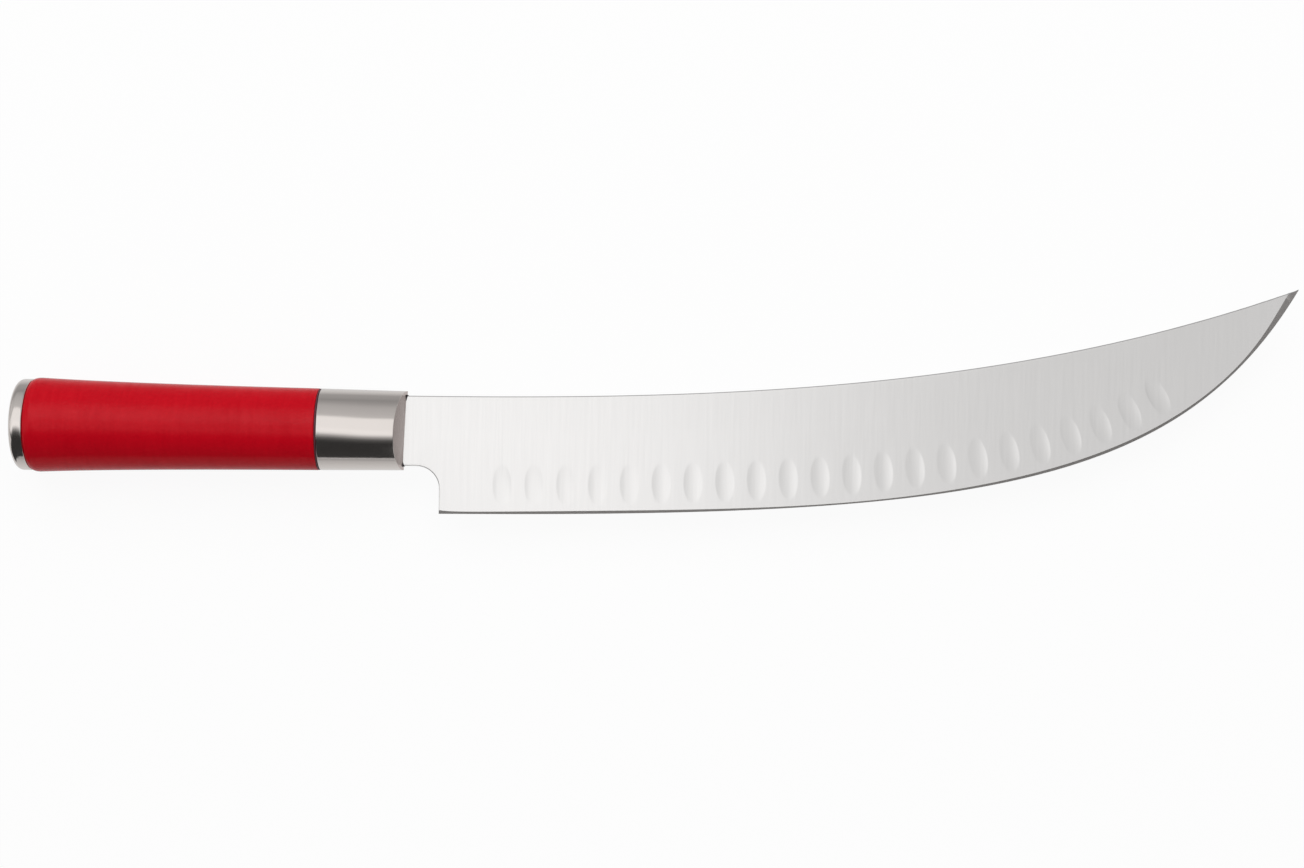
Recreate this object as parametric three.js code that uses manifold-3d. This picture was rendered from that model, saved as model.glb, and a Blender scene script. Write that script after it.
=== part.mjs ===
// Butcher's knife with an upswept blade, hollow-ground scallops and a round capped handle.
//
// Lengths are in millimetres and angles in degrees. +X runs along the handle's axis from butt to tip,
// +Y points to the spine and +Z points up, square to the flat of the blade, so the knife lies on its side.
// While it is built, x = 0 is the front of the ferrule and y = z = 0 is the handle's axis. The finished
// knife is then moved so that its origin is the centre of its footprint on the surface that it lies on.

import * as THREE from "three";
import { mergeVertices } from "three/addons/utils/BufferGeometryUtils.js";
import Module from "manifold-3d";

const wasm = await Module();
wasm.setup();

// Blade outline, seen square to its flat. A pull is the share of the blade's length over which a curve
// keeps to the direction that it has at that end.
const BLADE_LENGTH = 296.9; // front of the ferrule to the tip, along the axis
const TIP_RISE = 52; // tip above the axis
const SPINE_ROOT_ANGLE = 0.2; // the spine leaves the ferrule almost level
const SPINE_ROOT_PULL = 0.332;
const SPINE_TIP_ANGLE = 20.5;
const SPINE_TIP_PULL = 0.347;
const HEEL_SETBACK = 11.4; // front of the ferrule to the heel
const HEEL_DEPTH = 15.8; // root's underside to the heel
const EDGE_HEEL_ANGLE = 0.54;
const EDGE_HEEL_PULL = 0.612;
const EDGE_TIP_ANGLE = 60;
const EDGE_TIP_PULL = 0.258;
const CHOIL_RADIUS = 7.6; // round of the notch behind the heel
const ROOT_SPINE_COVER = 1.52; // ferrule rim that shows above the spine
const ROOT_BELLY_COVER = 1.5; // ferrule rim that shows below the root

// Blade section
const BLADE_THICKNESS = 2.5;
const EDGE_THICKNESS = 0.5; // behind the cutting bevel
const TIP_EDGE_THICKNESS = 1.3; // the same at the tip, which is left stouter
const TIP_STOUT_START = 0.7; // share of the edge after which it grows stouter
const GRIND_HEIGHT = 26; // edge to the line where the ground face meets the flat
const GRIND_RUNOUT = 10; // length behind the heel over which the ground face dies away
const GRIND_OVERRUN = 9; // how far the grinding runs on past the metal
const BEVEL_ANGLE = 18; // cutting bevel, each side
const EDGE_LAND = 0.04; // width left at the very edge

// Scallops ground into both faces, those underneath half a pitch further on
const HOLLOW_WIDTH = 6.3; // along the edge
const HOLLOW_HEIGHT = 13.8; // across the blade
const HOLLOW_DEPTH = 0.12;
const HOLLOW_EDGE_GAP = 2.75; // edge to the near end of a hollow
const HOLLOW_PITCH = 10.6;
const HOLLOW_START = 21; // heel to the middle of the first hollow
const HOLLOW_END = 52; // middle of the last hollow to the tip, at least

// Tang, the tongue of the blade that runs into the handle
const TANG_RELIEF = 0.15; // tang below the blade's flat, each side
const TANG_WIDTH = 12;
const TANG_LENGTH = 70; // front of the ferrule to the end of the flat tang

// Ferrule
const FERRULE_LENGTH = 28.1;
const FERRULE_RADIUS = 13.6; // at the grip
const FERRULE_TAPER = 0.4; // radius lost from there to the front
const FERRULE_WALL = 1.4; // at its thinnest
const NOSE_WALL = 0.8; // left behind the flats at the rim
const NOSE_FACET_DEPTH = 2.4; // how far each flat of the nose falls back at its rim
const SEAL_THICKNESS = 0.2; // sealant in the slot, each side of the root

// Ring between ferrule and grip
const SEAM_RING_WIDTH = 0.5;
const SEAM_RING_RECESS = 0.2; // below the grip's surface

// Grip
const GRIP_LENGTH = 95.2;
const GRIP_STEP = 0.05; // grip over the ferrule, where they meet
const GRIP_BUTT_RADIUS = 15.67;
const GRIP_FRONT_ANGLE = 0.55; // taper where it leaves the ferrule
const GRIP_BUTT_ANGLE = 2.9; // flare at the butt
const GRIP_FRONT_PULL = 0.36; // share of the grip's length, as on the blade
const GRIP_BUTT_PULL = 0.23;
const GRIP_RIM_RUN = 1.9; // length of the rounded rim at the butt
const GRIP_RIM_DROP = 0.45; // height of the same rim

// Core that carries the ferrule on the grip
const SPIGOT_LENGTH = 10;
const SPIGOT_STEP = 2.4; // spigot radius over the potting's

// Potting round the tang, stud, washer and nut
const POTTING_WALL = 0.8; // at the tang's corners
const STUD_RADIUS = 3;
const STUD_FORK_DEPTH = 12; // length of the fork that straddles the tang
const STUD_PROUD = 2; // stud end beyond the nut
const WASHER_THICKNESS = 1.6;
const NUT_SIDES = 6;
const NUT_ACROSS_FLATS = 10;
const NUT_HEIGHT = 5;

// End cap
const CAP_LENGTH = 4.7; // part that shows
const CAP_STEP = 0.05; // cap below the grip's rim, where they meet
const CAP_EDGE_RADIUS = 2;
const CAP_SKIRT_WALL = 2;
const CAP_SKIRT_ROOM = 2; // round the nut
const CAP_ROOM = 2; // behind the stud's end

// Clearances
const FIT_GAP = 0.1; // between round pieces that slide together
const SEAT_GAP = 0.05; // between faces that are drawn up together

// Fineness of round and curved faces
const WELD_DISTANCE = 1e-4; // points closer than this are one point
const TURNED_SIDES = 48;
const SPINE_STEPS = 36;
const EDGE_STEPS = 48;
const CHOIL_STEPS = 8;
const GRIP_STEPS = 12;
const ROUND_STEPS = 5;
const HOLLOW_SIDES = 16;
const HOLLOW_RINGS = 2;

// Sizes that follow from those above
const noseRadius = FERRULE_RADIUS - FERRULE_TAPER;
const rootTop = noseRadius - ROOT_SPINE_COVER;
const rootBottom = ROOT_BELLY_COVER - noseRadius;
const halfThickness = BLADE_THICKNESS / 2;
const tangHalf = halfThickness - TANG_RELIEF;
const slotGap = SEAL_THICKNESS + 2 * SEAT_GAP;
const pottingRadius = Math.hypot(TANG_WIDTH / 2, tangHalf) + POTTING_WALL;
const gripBore = pottingRadius + FIT_GAP;
const spigotRadius = pottingRadius + SPIGOT_STEP;
const ferruleBore = Math.min(noseRadius, FERRULE_RADIUS) - FERRULE_WALL;
const gripFrontRadius = FERRULE_RADIUS + GRIP_STEP;
const capRadius = GRIP_BUTT_RADIUS - GRIP_RIM_DROP - CAP_STEP;
const nutCornerRadius = NUT_ACROSS_FLATS / 2 / Math.cos(Math.PI / NUT_SIDES);
const skirtBore = Math.max(nutCornerRadius + CAP_SKIRT_ROOM, gripBore);
const skirtRadius = skirtBore + CAP_SKIRT_WALL;

// Places along the axis, from the ferrule's front to the butt
const noseRear = -NOSE_FACET_DEPTH - NOSE_WALL;
const ferruleRear = -FERRULE_LENGTH;
const gripFront = ferruleRear - SEAM_RING_WIDTH - 3 * SEAT_GAP;
const gripRear = gripFront - GRIP_LENGTH;
const capFront = gripRear - SEAT_GAP;
const capRear = capFront - CAP_LENGTH;
const spigotRear = ferruleRear - SPIGOT_LENGTH;
const studEnd = capFront + CAP_ROOM;
const nutRear = studEnd + STUD_PROUD;
const nutFront = nutRear + NUT_HEIGHT;
const washerRear = nutFront + SEAT_GAP;
const washerFront = washerRear + WASHER_THICKNESS;
const washerSeat = washerFront + SEAT_GAP;
const forkFront = STUD_FORK_DEPTH - TANG_LENGTH;

// Finishes
const BLADE_STEEL = { color: 0xcfcfcd, roughness: 0.32, metalness: 1 };
const SATIN_STEEL = { color: 0xb9b5b0, roughness: 0.28, metalness: 1 };
const ZINC_STEEL = { color: 0xa9abad, roughness: 0.45, metalness: 1 };
const RED_POLYMER = { color: 0xb8101f, roughness: 0.45, metalness: 0 };
const DARK_SEAL = { color: 0x241d22, roughness: 0.7, metalness: 0 };
const CORE_POLYMER = { color: 0x2b2b2d, roughness: 0.6, metalness: 0 };
const RESIN = { color: 0xc9b68a, roughness: 0.4, metalness: 0 };

// Solids and booleans

// A closed three.js geometry as a manifold-3d solid.
function solidOf(geometry) {
  const bare = geometry.clone();
  bare.deleteAttribute("normal");
  bare.deleteAttribute("uv");
  const merged = mergeVertices(bare, WELD_DISTANCE);
  const vertProperties = new Float32Array(merged.attributes.position.array);
  const triVerts = new Uint32Array(merged.index.array);
  return new wasm.Manifold(new wasm.Mesh({ numProp: 3, vertProperties, triVerts }));
}

// A manifold-3d solid as a three.js geometry.
function geometryOf(solid) {
  const { vertProperties, triVerts } = solid.getMesh();
  const geometry = new THREE.BufferGeometry();
  geometry.setAttribute("position", new THREE.BufferAttribute(vertProperties, 3));
  geometry.setIndex(new THREE.BufferAttribute(triVerts, 1));
  geometry.computeVertexNormals();
  return geometry;
}

// A solid with each of the tools cut out of it.
function cut(body, tools) {
  return tools.reduce((left, tool) => left.subtract(tool), body);
}

// A body turned about the X axis from [x, radius] points, which run from rear to front along its outside.
function turned(points) {
  const profile = points.map(([x, radius]) => new THREE.Vector2(radius, x));
  return new THREE.LatheGeometry(profile, TURNED_SIDES).rotateZ(-Math.PI / 2);
}

// A round bar on the axis from x = rear to x = front.
function bar(rear, front, radius) {
  return turned([[rear, 0], [rear, radius], [front, radius], [front, 0]]);
}

// A tube on the axis.
function tube(rear, front, outer, inner) {
  return turned([[rear, inner], [rear, outer], [front, outer], [front, inner], [rear, inner]]);
}

// A box from its lowest to its highest corner.
function block(low, high) {
  const size = high.map((value, i) => value - low[i]);
  const middle = high.map((value, i) => (value + low[i]) / 2);
  return new THREE.BoxGeometry(...size).translate(...middle);
}

// A closed body through a row of like-sided convex sections.
function lofted(sections) {
  const sides = sections[0].length;
  const last = (sections.length - 1) * sides;
  const index = [];
  for (let first = 0; first < last; first += sides)
    for (let j = 0; j < sides; j++) {
      const a = first + j;
      const b = first + ((j + 1) % sides);
      index.push(a, b, b + sides, a, b + sides, a + sides);
    }
  for (let j = 1; j < sides - 1; j++)
    index.push(0, j + 1, j, last, last + j, last + j + 1);
  const positions = sections.flat().flatMap((point) => point.toArray());
  const geometry = new THREE.BufferGeometry();
  geometry.setAttribute("position", new THREE.Float32BufferAttribute(positions, 3));
  geometry.setIndex(index);
  return geometry;
}

// Points of a quarter ellipse from angle 0 to 90 degrees, both ends included.
function quarter(steps, place) {
  return Array.from({ length: steps + 1 }, (_, i) => {
    const angle = (Math.PI / 2) * (i / steps);
    return place(Math.cos(angle), Math.sin(angle));
  });
}

// A cubic curve between two ends, each with its point, the direction of the curve there in degrees and its
// pull as a share of the length given.
function sweep(length, from, to) {
  const step = ({ angle, pull }) =>
    new THREE.Vector2(length * pull, 0)
      .rotateAround(new THREE.Vector2(), THREE.MathUtils.degToRad(angle));
  const leave = from.point.clone().add(step(from));
  const arrive = to.point.clone().sub(step(to));
  return new THREE.CubicBezierCurve(from.point, leave, arrive, to.point);
}

// Blade

const tip = new THREE.Vector2(BLADE_LENGTH, TIP_RISE);
const heel = new THREE.Vector2(HEEL_SETBACK, rootBottom - HEEL_DEPTH);
const spineStart = new THREE.Vector2(SEAT_GAP, rootTop);
const spine = sweep(
  BLADE_LENGTH,
  { point: spineStart, angle: SPINE_ROOT_ANGLE, pull: SPINE_ROOT_PULL },
  { point: tip, angle: SPINE_TIP_ANGLE, pull: SPINE_TIP_PULL },
);
const edge = sweep(
  BLADE_LENGTH,
  { point: heel, angle: EDGE_HEEL_ANGLE, pull: EDGE_HEEL_PULL },
  { point: tip, angle: EDGE_TIP_ANGLE, pull: EDGE_TIP_PULL },
);

// Places along the edge: the point, the way to the tip, the way into the blade and the share of its length.
const stations = Array.from({ length: EDGE_STEPS + 1 }, (_, i) => {
  const share = i / EDGE_STEPS;
  const along = edge.getTangentAt(share);
  const inward = new THREE.Vector2(-along.y, along.x);
  return { point: edge.getPointAt(share), along, inward, share };
});

function edgeThicknessAt(share) {
  const grown = Math.max(0, (share - TIP_STOUT_START) / (1 - TIP_STOUT_START));
  return EDGE_THICKNESS + (TIP_EDGE_THICKNESS - EDGE_THICKNESS) * grown ** 2;
}

// Half the blade's thickness on the ground face, a given way in from the edge.
function groundHalf(share, depth) {
  const behindBevel = edgeThicknessAt(share) / 2;
  return behindBevel + ((halfThickness - behindBevel) * depth) / GRIND_HEIGHT;
}

// The flat outline of the blade in front of the ferrule.
function bladeOutline() {
  const choilCentre = [HEEL_SETBACK - CHOIL_RADIUS, rootBottom - CHOIL_RADIUS];
  const choil = quarter(CHOIL_STEPS, (cos, sin) =>
    new THREE.Vector2(choilCentre[0] + CHOIL_RADIUS * sin, choilCentre[1] + CHOIL_RADIUS * cos));
  return [
    new THREE.Vector2(SEAT_GAP, rootBottom),
    ...choil,
    ...stations.map((station) => station.point),
    ...spine.getSpacedPoints(SPINE_STEPS).reverse().slice(1),
  ];
}

// A plate of the given outline, midway about z = 0.
function plate(outline, thickness) {
  const shape = new THREE.Shape(outline);
  const settings = { depth: thickness, bevelEnabled: false };
  return new THREE.ExtrudeGeometry(shape, settings).translate(0, 0, -thickness / 2);
}

// A grinding tool that passes along the edge on one side, 1 above or -1 below. face gives the height of
// the finished face at a station, a given way in from the edge.
function grinder(passes, side, from, to, face) {
  const sections = passes.map((pass) => {
    const low = face(pass, from);
    const high = face(pass, to);
    const corners = [[from, low], [to, high], [from, high]];
    const section = corners.map(([depth, height]) => {
      const place = pass.point.clone().addScaledVector(pass.inward, depth);
      return new THREE.Vector3(place.x, place.y, side * height);
    });
    return side < 0 ? section.reverse() : section;
  });
  return solidOf(lofted(sections));
}

// The edge's stations with one more at each end, moved straight on past it.
function passesPastEnds(behindHeel, pastTip) {
  const first = stations[0];
  const last = stations[stations.length - 1];
  const moved = (station, distance) =>
    ({ ...station, point: station.point.clone().addScaledVector(station.along, distance) });
  return [{ ...moved(first, -behindHeel), lift: 1 }, ...stations, moved(last, pastTip)];
}

function groundFaces(side) {
  const face = (pass, depth) => {
    const lift = (pass.lift ?? 0) * (halfThickness - groundHalf(pass.share, 0));
    return groundHalf(pass.share, depth) + lift;
  };
  const passes = passesPastEnds(GRIND_RUNOUT, GRIND_OVERRUN);
  return grinder(passes, side, -GRIND_OVERRUN, GRIND_HEIGHT + GRIND_OVERRUN, face);
}

function cuttingBevel(side) {
  const steepness = Math.tan(THREE.MathUtils.degToRad(BEVEL_ANGLE));
  const face = (pass, depth) => EDGE_LAND / 2 + steepness * depth;
  const passes = passesPastEnds(EDGE_THICKNESS, BLADE_THICKNESS);
  return grinder(passes, side, -EDGE_THICKNESS, halfThickness / steepness, face);
}

// A shallow bowl, hollow downwards from z = 0, of radius 1 and the scallops' depth.
function hollowCutter() {
  const bowl = (radius) => HOLLOW_DEPTH * (radius ** 2 - 1);
  const rings = Array.from({ length: HOLLOW_RINGS + 2 }, (_, i) => i / HOLLOW_RINGS);
  const profile = rings.map((radius) => new THREE.Vector2(radius, bowl(radius)));
  const brim = rings[rings.length - 1];
  profile.push(new THREE.Vector2(0, bowl(brim)));
  return new THREE.LatheGeometry(profile, HOLLOW_SIDES).rotateX(Math.PI / 2);
}

// Scallops along the edge on one side, the first one a given way past the usual start.
function hollows(side, shift) {
  const inset = HOLLOW_EDGE_GAP + HOLLOW_HEIGHT / 2;
  const middles = stations.map(({ point, inward }) => point.clone().addScaledVector(inward, inset));
  const path = new THREE.SplineCurve(middles);
  const room = path.getLength() - HOLLOW_START - HOLLOW_END - shift;
  const count = Math.floor(room / HOLLOW_PITCH) + 1;
  return Array.from({ length: count }, (_, i) => {
    const share = (HOLLOW_START + shift + i * HOLLOW_PITCH) / path.getLength();
    const middle = path.getPointAt(share);
    const heading = path.getTangentAt(share).angle();
    const lean = Math.atan2(groundHalf(share, inset) - groundHalf(share, 0), inset);
    const cutter = hollowCutter().scale(HOLLOW_WIDTH / 2, HOLLOW_HEIGHT / 2, 1).rotateX(lean);
    if (side < 0) cutter.rotateY(Math.PI);
    cutter.rotateZ(heading).translate(middle.x, middle.y, side * groundHalf(share, inset));
    return solidOf(cutter);
  });
}

// The blade's root in the ferrule's slot, grown by a gap all round, between two places on the axis.
function slotBlock(rear, front, gap) {
  const halfWidth = tangHalf + gap;
  return block([rear, rootBottom - gap, -halfWidth], [front, rootTop + gap, halfWidth]);
}

function blade() {
  const root = slotBlock(noseRear, BLADE_THICKNESS, 0);
  const tang = block([-TANG_LENGTH, -TANG_WIDTH / 2, -tangHalf], [0, TANG_WIDTH / 2, tangHalf]);
  const ground = cut(solidOf(plate(bladeOutline(), BLADE_THICKNESS)), [
    ...[1, -1].map(groundFaces),
    ...[1, -1].map(cuttingBevel),
    ...hollows(1, 0),
    ...hollows(-1, HOLLOW_PITCH / 2),
  ]);
  return geometryOf(ground.add(solidOf(root)).add(solidOf(tang)));
}

// Ferrule and what closes it

function ferrule() {
  const outside = turned([
    [ferruleRear, 0],
    [ferruleRear, FERRULE_RADIUS],
    [0, noseRadius],
    [0, 0],
  ]);
  const reach = 2 * FERRULE_RADIUS;
  const lean = Math.atan2(NOSE_FACET_DEPTH, noseRadius);
  const upperFacet = block([0, -reach, 0], [reach, reach, reach]).rotateY(-lean);
  const lowerFacet = block([0, -reach, -reach], [reach, reach, 0]).rotateY(lean);
  const bore = bar(ferruleRear - FERRULE_WALL, noseRear, ferruleBore);
  const slot = slotBlock(noseRear - FERRULE_WALL, FERRULE_WALL, slotGap);
  return geometryOf(cut(solidOf(outside), [upperFacet, lowerFacet, bore, slot].map(solidOf)));
}

// Sealant that fills the slot round the tang.
function slotSeal() {
  const front = -(NOSE_FACET_DEPTH * (tangHalf + slotGap)) / noseRadius;
  const filled = slotBlock(noseRear, front, slotGap - SEAT_GAP);
  const opening = slotBlock(noseRear - FERRULE_WALL, FERRULE_WALL, SEAT_GAP);
  return geometryOf(solidOf(filled).subtract(solidOf(opening)));
}

function ferruleCore() {
  const front = noseRear - SEAT_GAP;
  const shoulder = ferruleRear - SEAT_GAP;
  const outside = turned([
    [spigotRear, 0],
    [spigotRear, spigotRadius],
    [shoulder, spigotRadius],
    [shoulder, ferruleBore - FIT_GAP],
    [front, ferruleBore - FIT_GAP],
    [front, 0],
  ]);
  return geometryOf(solidOf(outside).subtract(solidOf(tangPassage(spigotRear - FIT_GAP, 0))));
}

function seamRing() {
  const outer = Math.min(gripFrontRadius, FERRULE_RADIUS) - SEAM_RING_RECESS;
  const front = ferruleRear - 2 * SEAT_GAP;
  return tube(front - SEAM_RING_WIDTH, front, outer, spigotRadius + FIT_GAP);
}

// Handle

// Room for the flat tang between two places on the axis.
function tangPassage(rear, front) {
  const halfWidth = TANG_WIDTH / 2 + FIT_GAP;
  const halfHeight = tangHalf + FIT_GAP;
  return block([rear, -halfWidth, -halfHeight], [front, halfWidth, halfHeight]);
}

function grip() {
  const crest = new THREE.Vector2(gripRear + GRIP_RIM_RUN, GRIP_BUTT_RADIUS);
  const front = new THREE.Vector2(gripFront, gripFrontRadius);
  const side = sweep(
    GRIP_LENGTH,
    { point: crest, angle: -GRIP_BUTT_ANGLE, pull: GRIP_BUTT_PULL },
    { point: front, angle: -GRIP_FRONT_ANGLE, pull: GRIP_FRONT_PULL },
  );
  const rim = quarter(ROUND_STEPS, (cos, sin) =>
    [crest.x - GRIP_RIM_RUN * cos, crest.y - GRIP_RIM_DROP * (1 - sin)]);
  const counterbore = skirtRadius + FIT_GAP;
  const frontBore = spigotRadius + FIT_GAP;
  const frontFloor = spigotRear - SEAT_GAP;
  return turned([
    [gripRear, counterbore],
    ...rim,
    ...side.getPoints(GRIP_STEPS).slice(1).map((point) => point.toArray()),
    [gripFront, frontBore],
    [frontFloor, frontBore],
    [frontFloor, gripBore],
    [washerSeat, gripBore],
    [washerSeat, counterbore],
    [gripRear, counterbore],
  ]);
}

function tangPotting() {
  const rear = washerSeat;
  const front = spigotRear - SEAT_GAP;
  const passages = [
    tangPassage(-TANG_LENGTH - FIT_GAP, 0),
    bar(rear - WASHER_THICKNESS, forkFront + FIT_GAP, STUD_RADIUS + FIT_GAP),
  ];
  return geometryOf(cut(solidOf(bar(rear, front, pottingRadius)), passages.map(solidOf)));
}

function tangStud() {
  const fork = tangPassage(-TANG_LENGTH - FIT_GAP, 0);
  return geometryOf(solidOf(bar(studEnd, forkFront, STUD_RADIUS)).subtract(solidOf(fork)));
}

function washer() {
  return tube(washerRear, washerFront, skirtRadius, STUD_RADIUS + FIT_GAP);
}

function tangNut() {
  const corners = Array.from({ length: NUT_SIDES }, (_, i) =>
    new THREE.Vector2(nutCornerRadius, 0)
      .rotateAround(new THREE.Vector2(), (2 * Math.PI * i) / NUT_SIDES));
  const hexagon = new THREE.Shape(corners);
  hexagon.holes.push(new THREE.Path().absarc(0, 0, STUD_RADIUS + FIT_GAP, 0, 2 * Math.PI));
  const settings = { depth: NUT_HEIGHT, bevelEnabled: false, curveSegments: TURNED_SIDES / 2 };
  return new THREE.ExtrudeGeometry(hexagon, settings).rotateY(Math.PI / 2).translate(nutRear, 0, 0);
}

function endCap() {
  const round = quarter(ROUND_STEPS, (cos, sin) => [
    capRear + CAP_EDGE_RADIUS * (1 - cos),
    capRadius - CAP_EDGE_RADIUS * (1 - sin),
  ]);
  const skirtFront = washerRear - SEAT_GAP;
  return turned([
    [capRear, 0],
    ...round,
    [capFront, capRadius],
    [capFront, skirtRadius],
    [skirtFront, skirtRadius],
    [skirtFront, skirtBore],
    [capFront, skirtBore],
    [capFront, 0],
  ]);
}

// Assembly

const pieces = [
  ["blade", blade(), BLADE_STEEL],
  ["ferrule", ferrule(), SATIN_STEEL],
  ["slot_seal", slotSeal(), DARK_SEAL],
  ["ferrule_core", ferruleCore(), CORE_POLYMER],
  ["seam_ring", seamRing(), DARK_SEAL],
  ["grip", grip(), RED_POLYMER],
  ["tang_potting", tangPotting(), RESIN],
  ["tang_stud", tangStud(), ZINC_STEEL],
  ["washer", washer(), ZINC_STEEL],
  ["tang_nut", tangNut(), ZINC_STEEL],
  ["end_cap", endCap(), SATIN_STEEL],
];

const assembly = new THREE.Group();
for (const [name, geometry, finish] of pieces) {
  const mesh = new THREE.Mesh(geometry, new THREE.MeshStandardMaterial(finish));
  mesh.name = name;
  assembly.add(mesh);
}

const extent = new THREE.Box3().setFromObject(assembly);
const middle = extent.getCenter(new THREE.Vector3());
assembly.position.set(-middle.x, -middle.y, -extent.min.z);

const knife = new THREE.Group();
knife.add(assembly);

export default knife;
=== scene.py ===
"""Butcher knife: fine meshes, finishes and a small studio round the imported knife.

The file is laid out as an add-on and is run as a script. Lengths are in metres. The pieces are worked out
in the knife's own axes, where x = 0 is the front of the ferrule and y = z = 0 is the handle's axis, +X runs
to the tip, +Y to the spine and +Z up, square to the blade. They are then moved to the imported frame.
"""

import math

import bmesh
import bpy
import numpy as np
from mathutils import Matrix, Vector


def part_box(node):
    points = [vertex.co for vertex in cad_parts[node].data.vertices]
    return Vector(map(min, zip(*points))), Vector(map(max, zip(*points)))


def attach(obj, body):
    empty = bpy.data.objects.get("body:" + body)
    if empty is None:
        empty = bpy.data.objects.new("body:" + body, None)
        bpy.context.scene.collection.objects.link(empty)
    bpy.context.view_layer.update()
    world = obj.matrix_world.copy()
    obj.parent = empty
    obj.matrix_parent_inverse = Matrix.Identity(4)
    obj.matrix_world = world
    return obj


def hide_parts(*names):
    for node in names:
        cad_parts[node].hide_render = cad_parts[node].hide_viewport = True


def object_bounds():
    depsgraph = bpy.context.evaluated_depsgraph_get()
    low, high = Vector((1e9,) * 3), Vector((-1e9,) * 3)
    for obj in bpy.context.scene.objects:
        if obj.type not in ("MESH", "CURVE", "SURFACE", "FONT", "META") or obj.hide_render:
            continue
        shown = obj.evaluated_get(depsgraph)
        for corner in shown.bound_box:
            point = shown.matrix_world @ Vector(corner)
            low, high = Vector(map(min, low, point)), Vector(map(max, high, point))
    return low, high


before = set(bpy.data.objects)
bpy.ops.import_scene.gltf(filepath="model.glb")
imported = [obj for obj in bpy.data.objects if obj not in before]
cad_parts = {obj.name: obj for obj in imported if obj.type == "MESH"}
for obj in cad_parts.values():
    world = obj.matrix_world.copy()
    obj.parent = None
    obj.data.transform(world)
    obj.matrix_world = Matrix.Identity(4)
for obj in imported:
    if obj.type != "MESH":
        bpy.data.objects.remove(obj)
CAD_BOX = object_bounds()

bl_info = {
    "name": "Butcher knife",
    "version": (1, 0, 0),
    "blender": (4, 5, 0),
    "location": "3D view > Sidebar > Knife",
    "description": "Makes the blade, the handle and the studio of a butcher knife",
    "category": "Add Mesh",
}

MM = 0.001
X, Y, Z = range(3)  # places of a point's coordinates

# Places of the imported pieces, in the knife's own axes

GRIP_LOW, GRIP_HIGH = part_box("grip")
ORIGIN = np.array([
    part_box("ferrule")[1].x,
    (GRIP_LOW.y + GRIP_HIGH.y) / 2,
    (GRIP_LOW.z + GRIP_HIGH.z) / 2,
])
FLOOR_HEIGHT = CAD_BOX[0][Z]


def rear_of(node):
    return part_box(node)[0].x - ORIGIN[X]


def front_of(node):
    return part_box(node)[1].x - ORIGIN[X]


def radius_of(node):
    low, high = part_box(node)
    return (high.z - low.z) / 2


# Fineness of the meshes

CURVE_STEPS = 2400  # points on a curve while its lengths and directions are worked out
ROUND_STEPS = 8  # faces across a rounded edge
TURNED_SIDES = 160
GRIP_STEPS = 48
SHARP_ANGLE = math.radians(13)  # faces that meet at more than this show an edge
WELD_DIGITS = 8  # points that agree to this many decimals of a metre are one vertex


# Settings that a user would change

def amount(name, description, default, **kind):
    return bpy.props.FloatProperty(name=name, description=description, default=default, **kind)


def metres(name, description, default):
    return amount(name, description, default, precision=5, subtype="DISTANCE", unit="LENGTH")


def angle(name, description, degrees):
    return amount(name, description, math.radians(degrees), subtype="ANGLE", unit="ROTATION")


def share(name, description, default):
    return amount(name, description, default, min=0, max=1, subtype="FACTOR")


def watts(name, description, default):
    return amount(name, description, default, min=0, subtype="POWER", unit="POWER")


def colour(name, description, default):
    return bpy.props.FloatVectorProperty(
        name=name, description=description, default=default, size=3, min=0, max=1, subtype="COLOR")


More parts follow.
